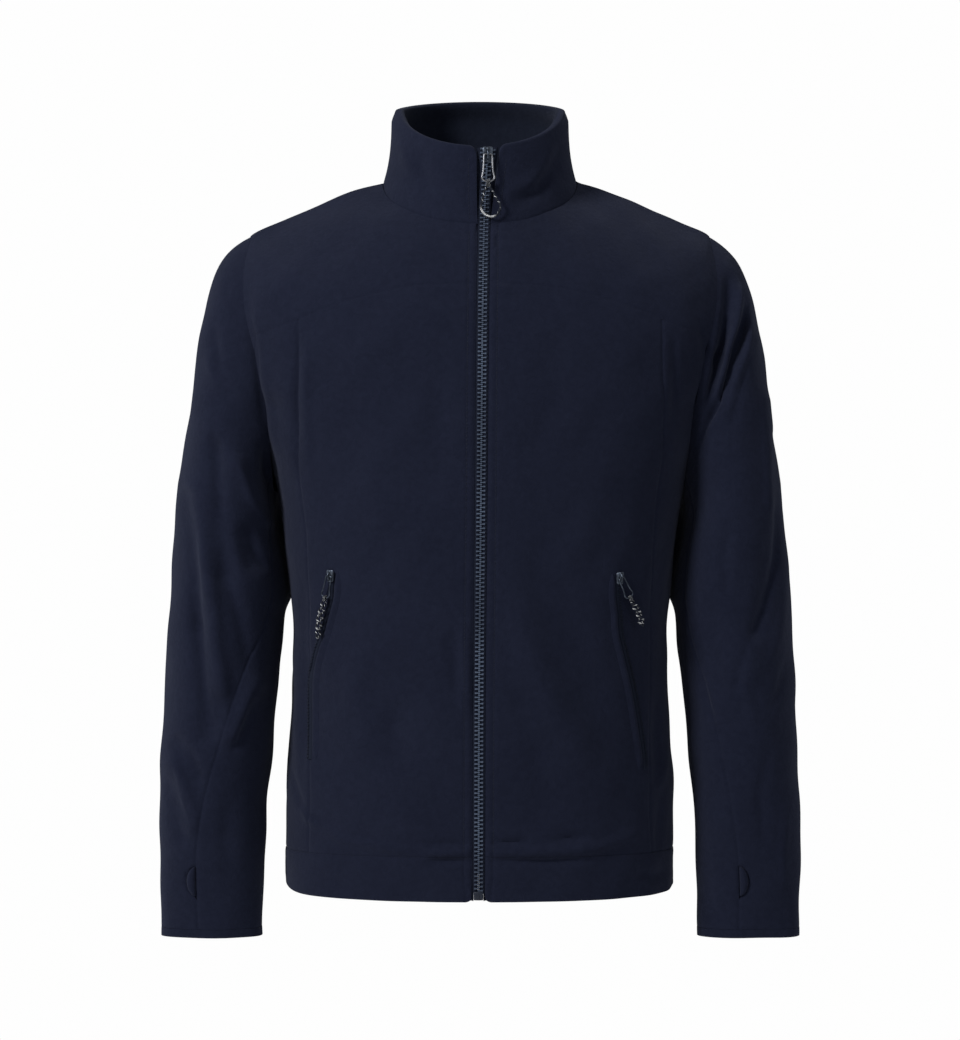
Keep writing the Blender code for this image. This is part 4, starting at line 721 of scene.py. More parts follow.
def squared(angle, square):
    """Sine and cosine round a rounded square, which is a circle where square is 2."""
    s = np.sin(angle)
    c = np.cos(angle)
    size = (np.abs(s) ** square + np.abs(c) ** square) ** (1 / square)
    return s / size, c / size


def side_name(side):
    """The wearer's side, 1 or -1, as a word."""
    return "left" if side > 0 else "right"


def shown(face, facing):
    """How far cloth that faces 1 front or -1 back takes up what lies on one face."""
    return np.clip((facing if face == "front" else -facing) * FOLD_FACING, 0, 1)


def fold_height(folds, points, facing):
    """How far the folds lift the cloth, with points in metres and facing 1 front, -1 back."""
    lift = np.zeros(points.shape[:-1])
    for fold in folds:
        run = np.array([fold.x1 - fold.x0, fold.z1 - fold.z0]) * MM
        flat = points[..., [0, 2]] - np.array([fold.x0, fold.z0]) * MM
        along = np.clip((flat @ run) / (run @ run), 0, 1)
        away = np.linalg.norm(flat - along[..., None] * run, axis=-1)
        lift += fold.height * MM * hump(away, fold.width * MM) * shown(fold.face, facing)
    return lift


def torso_form(angle, drop):
    """A point of the torso before folds: angle 0 front middle, +90 degrees wearer's left."""
    value = {name: curve(drop) for name, curve in TORSO_AT.items()}
    s, c = squared(angle, value["square"])
    ahead = c > 0
    x = value["half_width"] * s
    y = -np.where(ahead, value["front"], value["back"]) * c
    z = -drop + np.where(ahead, value["front_rise"] * c, -value["back_rise"] * c)
    return np.stack([x, y, z], axis=-1) * MM


def torso_angle(x, drop):
    """The front's angle at a sideways place in mm."""
    square = TORSO_AT["square"](drop)
    q = np.clip(np.abs(x) / TORSO_AT["half_width"](drop), 0, 1)
    r = (1 - q ** square) ** (1 / square)
    return np.sign(x) * np.arctan2(q, r)


def front_place(x, z):
    """Angle and drop of the front's point at x and z in mm."""
    x = np.asarray(x, float)
    low = np.full(x.shape, NECK_DROP)
    high = np.full(x.shape, HEM_DROP)
    for _ in range(BISECTIONS):
        drop = (low + high) / 2
        height = torso_form(torso_angle(x, drop), drop)[..., 2] / MM
        above = height > z
        low = np.where(above, drop, low)
        high = np.where(above, high, drop)
    return torso_angle(x, low), low


def numeric_normal(form, a, b, step_a, step_b):
    """Outward unit normal of a two-way surface, from small steps."""
    along_a = form(a + step_a, b) - form(a - step_a, b)
    along_b = form(a, b + step_b) - form(a, b - step_b)
    normal = np.cross(along_a, along_b)
    return normal / np.maximum(np.linalg.norm(normal, axis=-1, keepdims=True), 1e-12)


def calm_by_zip(points):
    """How much unevenness cloth may have at its distance from the zip, 0 to 1."""
    return ramp(np.abs(points[..., 0]) / MM, ZIP_CALM, ZIP_CALM)


def torso_folded(angle, drop):
    """A point of the torso's outer face with its folds."""
    base = torso_form(angle, drop)
    normal = -numeric_normal(torso_form, angle, drop, *FORM_STEP)
    facing = np.cos(angle)
    fade = np.clip((HEM_DROP - drop) / FOLD_END_LOW, 0, 1) * ramp(drop, NECK_DROP, FOLD_END_HIGH)
    fade = fade * np.where(facing > 0, calm_by_zip(base), 1)
    lift = fold_height(BODY_FOLDS, base, facing) * fade
    return base + normal * lift[..., None]


def torso_wall(angle, drop, outward=0.0):
    """Outer and inner points of torso cloth."""
    normal = -numeric_normal(torso_folded, angle, drop, *FOLDED_STEP)
    face = torso_folded(angle, drop)
    return face + normal * outward, face - normal * WALL


def armhole_share(drop):
    """How far down the armhole a level lies, 0 at the shoulder and 1 at the underarm."""
    return ramp(drop, SHOULDER_DROP, UNDERARM_DROP - SHOULDER_DROP)


def armhole_turn(drop):
    """The armhole's angle off the side line at a level."""
    share = armhole_share(drop)
    return ARMHOLE_ANGLE * np.sqrt(4 * share * (1 - share)) * (ARMHOLE_TOP_SHARE - ARMHOLE_TAPER * share)


def armhole_drop(turn):
    """Level of the armhole at a turn round it, 0 at the shoulder and half a turn at the underarm."""
    return SHOULDER_DROP + (UNDERARM_DROP - SHOULDER_DROP) * (1 - np.cos(turn)) / 2


def sleeve_low(turn, z, side):
    """A point of the sleeve below the armhole; turn 0 outer, 90 degrees front, 180 inner."""
    value = {name: curve(z) for name, curve in SLEEVE_AT.items()}
    s, c = squared(turn, value["square"])
    middle = (value["outer"] + value["inner"]) / 2
    half = (value["outer"] - value["inner"]) / 2
    rear = np.where(np.cos(turn) < 0, np.clip(-np.sin(turn), 0, 1), 0)
    behind = math.sqrt(2) * rear * np.sin(2 * turn) ** 2
    x = (middle + half * c - value["behind"] * behind) * side
    y = value["middle"] - value["depth"] * s
    height = z + SLEEVE_TOP_TILT * c * ramp(z, SLEEVE_TILT_END, SLEEVE_TILT_SPAN)
    return np.stack(np.broadcast_arrays(x, y, height), axis=-1) * MM


def armhole_point(turn, side):
    """A point of the armhole at a turn of the sleeve."""
    drop = armhole_drop(turn)
    off = armhole_turn(drop) * np.where(np.sin(turn) >= 0, -1, 1)
    point = torso_folded((np.pi / 2 + off) * side, drop)
    return point + np.array([SEAM_GAP * side, 0, 0])


def sleeve_cap(turn, share, side):
    """The sleeve from the armhole, share 0, to its first full ring, share 1."""
    start = armhole_point(turn, side)
    end = sleeve_low(turn, np.full(np.shape(turn), SLEEVE[0].z, float), side)
    c = np.cos(turn)
    lower = (1 - c) / 2
    lean = CAP_LEAN
    out = unit(np.stack([(lean.out + lean.out_gain * (1 - lower)) * side, -lean.front * np.sin(turn),
                         -(lean.down + lean.down_gain * lower)], axis=-1))
    up = np.stack([-lean.inward * c * side, 0 * c, 1 + 0 * c], axis=-1)
    reach = np.linalg.norm(end - start, axis=-1, keepdims=True)
    first = start + out * reach * CAP_START_PULL
    second = end + up * reach * CAP_END_PULL
    t = np.asarray(share)[..., None]
    return start * (1 - t) ** 3 + first * 3 * t * (1 - t) ** 2 + second * 3 * t * t * (1 - t) + end * t ** 3


def sleeve_form(turn, level, side):
    """The whole sleeve: level 0 to 1 is the cap, beyond it the level runs to the cuff."""
    turn, level = np.broadcast_arrays(np.asarray(turn, float), np.asarray(level, float))
    cap = sleeve_cap(turn, np.clip(level, 0, 1), side)
    low = sleeve_low(turn, height_of(level), side)
    return np.where((level < 1)[..., None], cap, low)


def level_of(z):
    """The sleeve level at a height in mm below the cap."""
    return 1 + (SLEEVE[0].z - z) / LEVEL_MM


def height_of(level):
    """The height in mm of a sleeve level, which stays the same all over the cap."""
    return SLEEVE[0].z - np.clip(level - 1, 0, None) * LEVEL_MM


def sleeve_folded(turn, level, side):
    """A point of the sleeve's outer face with its folds."""
    def form(a, b):
        return sleeve_form(a, b, side)
    base = form(turn, level)
    normal = numeric_normal(form, turn, level, *SLEEVE_FORM_STEP) * side
    facing = np.sin(turn) * np.ones_like(base[..., 0])
    lift = fold_height(SLEEVE_FOLDS[side], base, facing) * ramp(base[..., 2] / MM, CUFF_TOP_Z, FOLD_END_CUFF)
    return base + normal * lift[..., None]


def sleeve_wall(turn, level, side, outward=0.0):
    """Outer and inner points of sleeve cloth."""
    def form(a, b):
        return sleeve_folded(a, b, side)
    turn, level = np.broadcast_arrays(np.asarray(turn, float), np.asarray(level, float))
    inside = np.clip(level, CAP_FIRST_LEVEL, None)
    normal = numeric_normal(form, turn, inside, *SLEEVE_FOLDED_STEP) * side
    face = form(turn, level)
    return face + normal * outward, face - normal * WALL


def collar_form(angle, height):
    """The collar's outer face: height 0 at the neck seam and 1 at the top edge."""
    base = torso_form(angle, np.full(np.shape(angle), NECK_DROP))
    s = np.sin(angle)
    c = np.cos(angle)
    ahead = c > 0
    top_y = np.where(ahead, COLLAR_TOP_FRONT, COLLAR_TOP_BACK)
    top_z = np.where(ahead, COLLAR_TOP_FRONT_Z, COLLAR_TOP_BACK_Z)
    z = COLLAR_TOP_SIDE_Z + (top_z - COLLAR_TOP_SIDE_Z) * np.abs(c) ** COLLAR_SADDLE
    top = np.stack([COLLAR_TOP_WIDTH * s, -top_y * c, z], axis=-1) * MM
    height = np.asarray(height, float)[..., None]
    lean = 1 - (1 - height) ** COLLAR_FLARE
    point = base * (1 - lean) + top * lean
    point[..., 2] = (base[..., 2:] * (1 - height) + top[..., 2:] * height)[..., 0]
    return point


def collar_out(angle, height):
    """The collar's outward direction, taken a little way in from its two edges."""
    return numeric_normal(collar_form, angle, np.clip(height, *COLLAR_SLOPE_RANGE), *COLLAR_STEP)


def collar_height(z):
    """Share of the collar's front height at z in mm."""
    return (z - NECK_FRONT_Z) / COLLAR_FRONT_RISE


def collar_edge(height):
    """Distance of the collar's front edges from the zip's middle."""
    return FRONT_EDGE + (COLLAR_EDGE - FRONT_EDGE) * np.clip(height, 0, 1)


def collar_edge_angle(height, side):
    """Angle of the collar's front edge at a share of its height."""
    z = NECK_FRONT_Z + COLLAR_FRONT_RISE * height
    half_width = collar_form(np.array(np.pi / 2), height)[0] / MM
    return math.asin((float(ZIP_X(z)) + collar_edge(height) * side) / half_width)


def zip_places(z, aside):
    """Places and outward directions beside the zip's middle, at heights and offsets in mm."""
    z = np.asarray(z, float)
    x = ZIP_X(z) + aside
    angle, drop = front_place(x, np.minimum(z, NECK_FRONT_Z))
    face, deep = torso_wall(angle, drop)
    height = collar_height(z)
    half_width = collar_form(np.full(z.shape, np.pi / 2), height)[..., 0] / MM
    turn = np.arcsin(np.clip(x / half_width, -1, 1))
    upper = (z > NECK_FRONT_Z)[..., None]
    return (np.where(upper, collar_form(turn, height), face),
            np.where(upper, collar_out(turn, height), (face - deep) / WALL))


def spaced(length, first=SEAM_ROWS, last=SEAM_ROWS):
    """Shares from 0 to 1 of a length in mm, with the given close rows at each end."""
    start = np.array(first) / length
    end = 1 - np.array(last)[::-1] / length
    count = max(2, round((end[0] - start[-1]) * length / CLOTH_STEP))
    return np.concatenate([start, np.linspace(start[-1], end[0], count + 1)[1:-1], end])


def stack(angle, drop):
    """Two surface numbers as pairs."""
    return np.stack(np.broadcast_arrays(np.asarray(angle, float), np.asarray(drop, float)), axis=-1)


def patch(bottom, top, left, right, across, down):
    """Fills four border curves in the surface's own two numbers; down 0 is the bottom."""
    u = across[None, :, None]
    v = down[:, None, None]
    edges = (1 - v) * bottom[None] + v * top[None] + (1 - u) * left[:, None] + u * right[:, None]
    corners = ((1 - u) * (1 - v) * bottom[0] + u * (1 - v) * bottom[-1]
               + (1 - u) * v * top[0] + u * v * top[-1])
    return edges - corners


def pulled_back(outer, inner, sides="lrbt", gap=SEAM_MARGIN):
    """Moves the borders of a grid in from its seams."""
    outer = outer.copy()
    inner = inner.copy()
    borders = {"b": (np.s_[0], np.s_[1]), "t": (np.s_[-1], np.s_[-2]),
               "l": (np.s_[:, 0], np.s_[:, 1]), "r": (np.s_[:, -1], np.s_[:, -2])}
    for side in sides:
        edge, near = borders[side]
        tangent = unit(np.gradient(outer[edge], axis=0))
        way = outer[near] - outer[edge]
        way = unit(way - tangent * np.sum(way * tangent, axis=-1, keepdims=True)) * gap
        outer[edge] += way
        inner[edge] += way
    return outer, inner


def border_runs(grid):
    """Distances in mm of a grid's points from its four borders, along the cloth."""
    across = np.linalg.norm(np.diff(grid, axis=1), axis=-1) / MM
    down = np.linalg.norm(np.diff(grid, axis=0), axis=-1) / MM
    left = np.concatenate([np.zeros((grid.shape[0], 1)), np.cumsum(across, axis=1)], axis=1)
    bottom = np.concatenate([np.zeros((1, grid.shape[1])), np.cumsum(down, axis=0)], axis=0)
    return {"l": left, "r": left[:, -1:] - left, "b": bottom, "t": bottom[-1:] - bottom}


def sewn(outer, inner, seams, stitched=""):
    """Rounds cloth into its seams, puckers it beside them and dips it under topstitching."""
    runs = border_runs(outer)
    z = outer[..., 2] / MM
    lower = np.zeros(outer.shape[:2])
    pucker = np.zeros(outer.shape[:2])
    for side, firm in seams.items():
        away = runs[side]
        along = runs["b"] if side in "lr" else runs["l"]
        dip = SEAM_DIP * firm * hump(away, SEAM_ROUND)
        if firm < 0:
            high = 1 - FILL_LESS * ramp(z, FILL_LESS_FROM_Z, FILL_LESS_SPAN)
            high *= ramp(z, FILL_FROM_Z, FILL_SPAN)
            dip = -FILL_HEIGHT * high * np.exp(-away / FILL_REACH)
        lower = np.where(np.abs(dip) > np.abs(lower), dip, lower)
        for k, (length, share) in enumerate(PUCKER_WAVES):
            wave = np.sin(2 * np.pi * along / length + k)
            pucker += PUCKER * max(firm, 0) * share * np.exp(-away / PUCKER_REACH) * wave
    for side in stitched:
        lower += STITCH_DIP * hump(runs[side] - STITCH_FROM_EDGE, STITCH_WIDTH)
    return outer - unit(outer - inner) * ((lower + pucker) * MM)[..., None], inner


def crease_height(creases, points, facing):
    """How far creases lift the cloth in mm; each fades out towards both ends of its route."""
    flat = points[..., [0, 2]] / MM
    lift = np.zeros(points.shape[:-1])
    for crease in creases:
        route = np.array(crease.route, float)
        before = run_along(route)
        nearest = np.full(lift.shape, np.inf)
        share = np.zeros(lift.shape)
        for k, run in enumerate(np.diff(route, axis=0)):
            along = np.clip(((flat - route[k]) @ run) / (run @ run), 0, 1)
            away = np.linalg.norm(flat - route[k] - along[..., None] * run, axis=-1)
            nearer = away < nearest
            share = np.where(nearer, (before[k] + along * np.linalg.norm(run)) / before[-1], share)
            nearest = np.where(nearer, away, nearest)
        taper = np.clip(np.sin(np.pi * share), 0, 1) ** CREASE_TAPER
        lift += crease.height * hump(nearest, crease.width) * taper * shown(crease.face, facing)
    return lift


def cloth_waves():
    """Directions, phases and heights of the cloth's slow unevenness."""
    chance = np.random.default_rng(WAVE_SEED)
    way = unit(chance.normal(size=(WAVE_COUNT, 3)))
    length = chance.uniform(*WAVE_LENGTHS, size=WAVE_COUNT)
    return way / length[:, None] * 2 * np.pi, chance.uniform(0, 2 * np.pi, WAVE_COUNT)


WAVES = cloth_waves()


def dressed(outer, inner, creases, facing):
    """Adds creases and the slow unevenness to both faces of a piece of cloth."""
    ways, phases = WAVES
    uneven = WAVE_HEIGHT * np.sin(outer / MM @ ways.T + phases).sum(axis=-1)
    uneven *= np.where(outer[..., 1] < 0, calm_by_zip(outer), 1)
    lift = (crease_height(creases, outer, facing) + uneven) * MM
    move = unit(outer - inner) * lift[..., None]
    return outer + move, inner + move


def smooth_object(name, points, faces, material, uv=None):
    """An object from points and faces, faces outward, smooth but for its sharp edges."""
    mesh = bpy.data.meshes.new(name)
    mesh.from_pydata(np.asarray(points).tolist(), [], [tuple(face) for face in faces])
    if uv is not None:
        layer = mesh.uv_layers.new(name="braid")
        layer.data.foreach_set("uv", np.asarray(uv, np.float32).ravel())
    work = bmesh.new()
    work.from_mesh(mesh)
    bmesh.ops.recalc_face_normals(work, faces=work.faces)
    work.to_mesh(mesh)
    work.free()
    mesh.materials.append(material)
    mesh.shade_smooth()
    mesh.set_sharp_from_angle(angle=SHARP_ANGLE)
    return linked(bpy.data.objects.new(name, mesh))


def grid_faces(rows, columns, wrap=True):
    """Faces between neighbouring rows of points; a row may close on itself."""
    j, i = np.meshgrid(np.arange(rows - 1), np.arange(columns if wrap else columns - 1), indexing="ij")
    a = (j * columns + i).ravel()
    b = (j * columns + (i + 1) % columns).ravel()
    return np.stack([a, b, b + columns, a + columns], axis=1)


def closed_rings(rows, around):
    """Faces of a stack of rings with both ends shut."""
    ends = [tuple(range(around)), tuple((rows - 1) * around + i for i in range(around))]
    return grid_faces(rows, around).tolist() + ends


def wall_faces(rows, columns, wrap):
    """Faces of a closed wall between two like grids."""
    back = rows * columns
    outer = grid_faces(rows, columns, wrap)
    faces = [outer, outer[:, ::-1] + back]
    i = np.arange(columns if wrap else columns - 1)
    for j in (0, rows - 1):
        a = j * columns + i
        b = j * columns + (i + 1) % columns
        faces.append(np.stack([a, b, back + b, back + a], axis=1))
    if not wrap:
        for i in (0, columns - 1):
            a = np.arange(rows - 1) * columns + i
            faces.append(np.stack([a, a + columns, back + a + columns, back + a], axis=1))
    return np.concatenate(faces).tolist()


def grid_area(grid):
    """Area of a grid of points in square metres."""
    first = np.cross(grid[1:, 1:] - grid[:-1, :-1], grid[1:, :-1] - grid[:-1, 1:])
    return float(np.linalg.norm(first, axis=-1).sum() / 2)


def declared(piece, body, nodes):
    """Sets which body a piece rides and hides the parts it replaces."""
    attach(piece, body)
    if nodes:
        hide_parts(*nodes)
    return piece


def cloth(node, outer, inner, wrap=False):
    """A panel of cloth riding the jacket in place of its part; a band may close on itself."""
    rows, columns = outer.shape[:2]
    points = np.concatenate([outer.reshape(-1, 3), inner.reshape(-1, 3)])
    piece = smooth_object(node + "_cloth", points, wall_faces(rows, columns, wrap), FLEECE)
    declared(piece, "jacket", [node])
    runs = border_runs(outer)
    width = float(runs["l"][:, -1].max()) * MM
    length = float(runs["b"][-1].max()) * MM * (2 if wrap else 1)
    round(min(grid_area(outer), width * length), 4)
    return piece


def zip_edge(z, side):
    """Sideways place of a front's edge beside the zip."""
    return ZIP_X(z) + FRONT_EDGE * side


def edge_angle(drop, side):
    """Angle of a front's zip edge at a level."""
    z = torso_form(np.zeros_like(drop), drop)[..., 2] / MM
    return torso_angle(zip_edge(z, side), drop)


def princess_angle(drop, side):
    """Angle of the princess seam at a level."""
    return torso_angle(PRINCESS_X(-drop) * side, drop)


def armhole_border(turn, side):
    """The armhole's front edge at a turn round it."""
    drop = armhole_drop(turn)
    return stack((np.pi / 2 - armhole_turn(drop)) * side, drop)


def yoke_corner(side):
    """Sideways places of the yoke seam's ends and of the princess seam, in mm."""
    corner = armhole_border(YOKE_TURN, side)
    x_arm = torso_form(corner[0], corner[1])[0] / MM
    return zip_edge(YOKE_SEAM[0][1], side), PRINCESS_X(PRINCESS[0][0]) * side, x_arm


def yoke_line(x, side, to_armhole):
    """The yoke seam at sideways places; its last point is the armhole's own."""
    line = stack(*front_place(x, YOKE_Z(np.abs(x))))
    if to_armhole:
        line[-1] = armhole_border(YOKE_TURN, side)
    return line


def split(share, at):
    """Shares below and above a dividing place, each from 0 to 1."""
    return np.clip(share / at, 0, 1), np.clip((share - at) / (1 - at), 0, 1)


def front_panels(side):
    """Yoke, centre front and side front of one side."""
    label = side_name(side)
    x_zip, x_seam, x_arm = yoke_corner(side)
    across = spaced(CENTRE_WIDTH, STITCH_ROWS, SEAM_ROWS)
    down = spaced(FRONT_LENGTH)
    below, above = split(down, SIDE_LENGTH / FRONT_LENGTH)
    low = HEM_SEAM_DROP - SIDE_LENGTH * below

    top = yoke_line(x_zip + (x_seam - x_zip) * across, side, False)
    zip_drop = low + (top[0, 1] - UNDERARM_DROP) * above
    zip_side = stack(edge_angle(zip_drop, side), zip_drop)
    zip_side[-1] = top[0]
    seam_drop = low + (top[-1, 1] - UNDERARM_DROP) * above
    seam_side = stack(princess_angle(seam_drop, side), seam_drop)
    seam_side[-1] = top[-1]
    bottom = stack(zip_side[0, 0] + (seam_side[0, 0] - zip_side[0, 0]) * across, HEM_SEAM_DROP)
    grid = patch(bottom, top, zip_side, seam_side, across, down)
    seams = {**PANEL_SEAMS, "l": FIRM, "b": SOFT, "t": SOFT}
    centre = torso_cloth("centre_front_" + label, grid, FRONT_CREASES, seams, "l")

    across = spaced(FLANK_WIDTH)
    top = yoke_line(x_seam + (x_arm - x_seam) * across, side, True)
    arm_side = armhole_border(np.pi + (YOKE_TURN - np.pi) * above, side)
    arm_side = np.where((above > 0)[:, None], arm_side, stack(np.pi / 2 * side, low))
    bottom = stack(seam_side[0, 0] + (arm_side[0, 0] - seam_side[0, 0]) * across, HEM_SEAM_DROP)
    grid = patch(bottom, top, seam_side, arm_side, across, down)
    flank = torso_cloth("side_front_" + label, grid, FRONT_CREASES, {**PANEL_SEAMS, "r": HIDDEN, "t": SOFT})

    across = spaced(YOKE_WIDTH, STITCH_ROWS, SEAM_ROWS)
    first, second = split(across, YOKE_SPLIT)
    x = x_zip + (x_seam - x_zip) * first + (x_arm - x_seam) * second
    bottom = yoke_line(x, side, True)
    start = edge_angle(np.array([NECK_DROP]), side)[0]
    top = stack(start + (np.pi / 2 * side - start) * first, NECK_DROP + (SHOULDER_DROP - NECK_DROP) * second)
    down = spaced(YOKE_LENGTH)
    zip_drop = bottom[0, 1] + (NECK_DROP - bottom[0, 1]) * down
    zip_side = stack(edge_angle(zip_drop, side), zip_drop)
    zip_side[0] = bottom[0]
    arm_side = armhole_border(YOKE_TURN * (1 - down), side)
    grid = patch(bottom, top, zip_side, arm_side, across, down)
    seams = {"l": FIRM, "r": HIDDEN, "b": SOFT, "t": HIDDEN}
    yoke = torso_cloth("front_yoke_" + label, grid, FRONT_CREASES, seams, "l")
    return [centre, flank, yoke]


def torso_cloth(node, grid, creases, seams, stitched="", proud=0.0):
    """Cloth of the torso over a grid of angles and drops."""
    wall = torso_wall(grid[..., 0], grid[..., 1], proud)
    wall = dressed(*wall, creases, np.cos(grid[..., 0]))
    return cloth(node, *sewn(*pulled_back(*wall), seams, stitched))


def back_panels():
    """The back: a yoke over the shoulders, and below it a centre back between two side backs."""
    low = spaced(BACK_LOW_LENGTH)
    high = spaced(YOKE_LENGTH)
    share = np.concatenate([low * BACK_YOKE_SHARE, BACK_YOKE_SHARE + (1 - BACK_YOKE_SHARE) * high[1:]])
    below, above = split(share, SIDE_LENGTH / BACK_LENGTH)
    turn = np.pi * (1 - above)
    drop = np.where(above > 0, armhole_drop(turn), HEM_SEAM_DROP - SIDE_LENGTH * below)
    off = armhole_turn(drop)
    left = stack(np.pi / 2 + off, drop)
    right = stack(3 * np.pi / 2 - off, drop)
    side = spaced(BACK_SIDE_WIDTH)
    centre = spaced(BACK_CENTRE_WIDTH)
    first = BACK_SIDE_SHARE
    across = np.concatenate([side * first, first + (1 - 2 * first) * centre[1:],
                             1 - first + side[1:] * first])
    bottom = stack(np.pi / 2 + np.pi * across, HEM_SEAM_DROP)
    near, rest = split(across, SHOULDER_SHARE)
    middle, far = split(rest, (1 - 2 * SHOULDER_SHARE) / (1 - SHOULDER_SHARE))
    top = stack(np.pi / 2 + np.pi * middle, SHOULDER_DROP + (NECK_DROP - SHOULDER_DROP) * (near - far))
    grid = patch(bottom, top, left, right, across, 1 - armhole_share(drop))
    seam = len(low) - 1
    one = len(side) - 1
    two = one + len(centre) - 1
    below = grid[:seam + 1]
    panels = (
        ("back_yoke", grid[seam:], {"l": HIDDEN, "r": HIDDEN, "b": PLAIN, "t": HIDDEN}),
        ("centre_back", below[:, one:two + 1], PANEL_SEAMS),
        ("side_back_left", below[:, :one + 1], {**PANEL_SEAMS, "l": HIDDEN}),
        ("side_back_right", below[:, two:], {**PANEL_SEAMS, "r": HIDDEN}),
    )
    for node, own, seams in panels:
        torso_cloth(node, own, BACK_CREASES, seams)


def corner_cut(away, radius):
    """How far a rounded corner stands back, at distances along its edge."""
    return radius - np.sqrt(radius ** 2 - (radius - np.clip(away, 0, radius)) ** 2)


def hem_bands():
    """The turned-up hem: two front bands and the back band."""
    bands = []
    down = spaced(HEM_HEIGHT, OPEN_ROWS, SEAM_ROWS)
    drop = HEM_DROP + (HEM_SEAM_DROP - HEM_DROP) * down
    up = 1 - down[:, None]
    for name, side in (("hem_front_left", 1), ("hem_front_right", -1), ("hem_back", 0)):
        across = spaced(HEM_FRONT_LENGTH, STITCH_ROWS, SEAM_ROWS) if side else spaced(HEM_BACK_LENGTH)
        start = edge_angle(drop, side) if side else np.full(len(drop), np.pi / 2)
        end = np.full(len(drop), np.pi / 2 * side if side else 3 * np.pi / 2)
        angle = start[:, None] + (end - start)[:, None] * across
        level = np.repeat(drop[:, None], len(across), axis=1)
        if side:
            level = level - corner_cut(across * HEM_FRONT_LENGTH, HEM_CORNER) * up ** 2
        beside = np.minimum(np.abs(np.abs(angle) - np.pi / 2), np.abs(np.abs(angle) - 3 * np.pi / 2))
        level = level - HEM_SIDE_LIFT * np.exp(-beside / HEM_SIDE_SPAN) * up ** 1.5
        creases = FRONT_CREASES if side else BACK_CREASES
        seams = {"l": FIRM, "r": PLAIN, "t": SOFT} if side else {"l": PLAIN, "r": PLAIN, "t": PLAIN}
        bands.append(torso_cloth(name, stack(angle, level), creases, seams, "l" if side else "", HEM_PROUD))
    return bands


def thumb_notch(z):
    """How far the upper sleeve's edge stands back at the thumbhole, in mm."""
    share = np.clip(1 - ((z - THUMB_Z) / THUMB_HALF_HEIGHT) ** 2, 0, 1)
    return THUMB_WIDTH * np.sqrt(share)


def sleeve_levels():
    """Levels of a sleeve's rings, close together at the armhole, the thumbhole and the cuff."""
    cap = spaced(CAP_LENGTH, SEAM_ROWS, (0,))
    end = level_of(CUFF_TOP_Z)
    plain = np.linspace(1, end, round((end - 1) * LEVEL_MM / CLOTH_STEP) + 1)[1:]
    thumb = level_of(THUMB_Z + THUMB_HALF_HEIGHT * np.cos(np.linspace(0, np.pi, THUMB_LEVELS)))
    last = end - np.array(SEAM_ROWS) / LEVEL_MM
    levels = np.unique(np.concatenate([cap, plain, thumb, last]).round(4))
    keep = np.concatenate([[True], np.diff(levels) > LEAST_LEVEL_GAP])
    return levels[keep]


def seam_turns(level, side):
    """Angles of a sleeve's front and back seams at its levels, and the levels' heights."""
    z = height_of(level)
    return np.radians(SEAM_AT[side_name(side)](z)), np.radians(SEAM_AT["back"](z)), z


def sleeve_cloth(node, turn, level, side, seams, pulled="lr", proud=0.0, wrap=False, bulge=None):
    """Cloth of a sleeve over a grid of turns and levels."""
    outer, inner = sleeve_wall(turn, np.broadcast_to(level[:, None], turn.shape), side, proud)
    outer, inner = dressed(outer, inner, SLEEVE_CREASES[side], np.sin(turn))
    if bulge is not None:
        outer = outer + unit(outer - inner) * bulge[..., None]
    if pulled:
        outer, inner = pulled_back(outer, inner, pulled, SLEEVE_SEAM_MARGIN)
    return cloth(node, *sewn(outer, inner, seams), wrap)


def sleeve_panels(side):
    """Upper and under sleeve of one arm."""
    label = side_name(side)
    level = sleeve_levels()
    front, back, z = seam_turns(level, side)
    notch = np.where(level > 1, thumb_notch(z), 0) / FOREARM_RADIUS
    spans = {"under_sleeve_": (front, back, UNDER_SLEEVE_WIDTH),
             "upper_sleeve_": (back - 2 * np.pi, front - notch, UPPER_SLEEVE_WIDTH)}
    for name, (start, end, width) in spans.items():
        turn = start[:, None] + (end - start)[:, None] * spaced(width)
        sleeve_cloth(name + label, turn, level, side, {"l": PLAIN, "r": PLAIN, "b": HIDDEN, "t": SOFT / 3})


def thumb_facing(side):
    """The puffed half-moon of cloth that fills the thumbhole's slit."""
    rise = np.sin(np.linspace(-1, 1, THUMB_ROWS)[1:-1] * np.pi / 2) * THUMB_FILLED
    z = THUMB_Z - rise * THUMB_HALF_HEIGHT
    level = level_of(z)
    front = seam_turns(level, side)[0]
    width = np.maximum(thumb_notch(z) - 2 * THUMB_GAP, THUMB_GAP) / FOREARM_RADIUS
    share = np.linspace(0, 1, THUMB_COLUMNS)
    turn = front[:, None] - THUMB_GAP / FOREARM_RADIUS - width[:, None] * share
    lengthwise = np.sqrt(np.clip(1 - rise ** 2, 0, 1))
    bulge = THUMB_BULGE * MM * lengthwise[:, None] * np.sin(np.pi * share) ** THUMB_ROUND
    sleeve_cloth("thumbhole_facing_" + side_name(side), turn, level, side, {}, "", bulge=bulge)


def cuff_binding(side):
    """The narrow band round the end of a sleeve."""
    z = np.linspace(CUFF_TOP_Z - SEAM_GAP / MM, CUFF_END_Z, CUFF_ROWS)
    turn = np.broadcast_to(2 * np.pi * np.arange(CUFF_TURNS) / CUFF_TURNS, (len(z), CUFF_TURNS))
    sleeve_cloth("cuff_binding_" + side_name(side), turn, level_of(z), side, {"b": SOFT / 3}, "", CUFF_PROUD,
                 wrap=True)


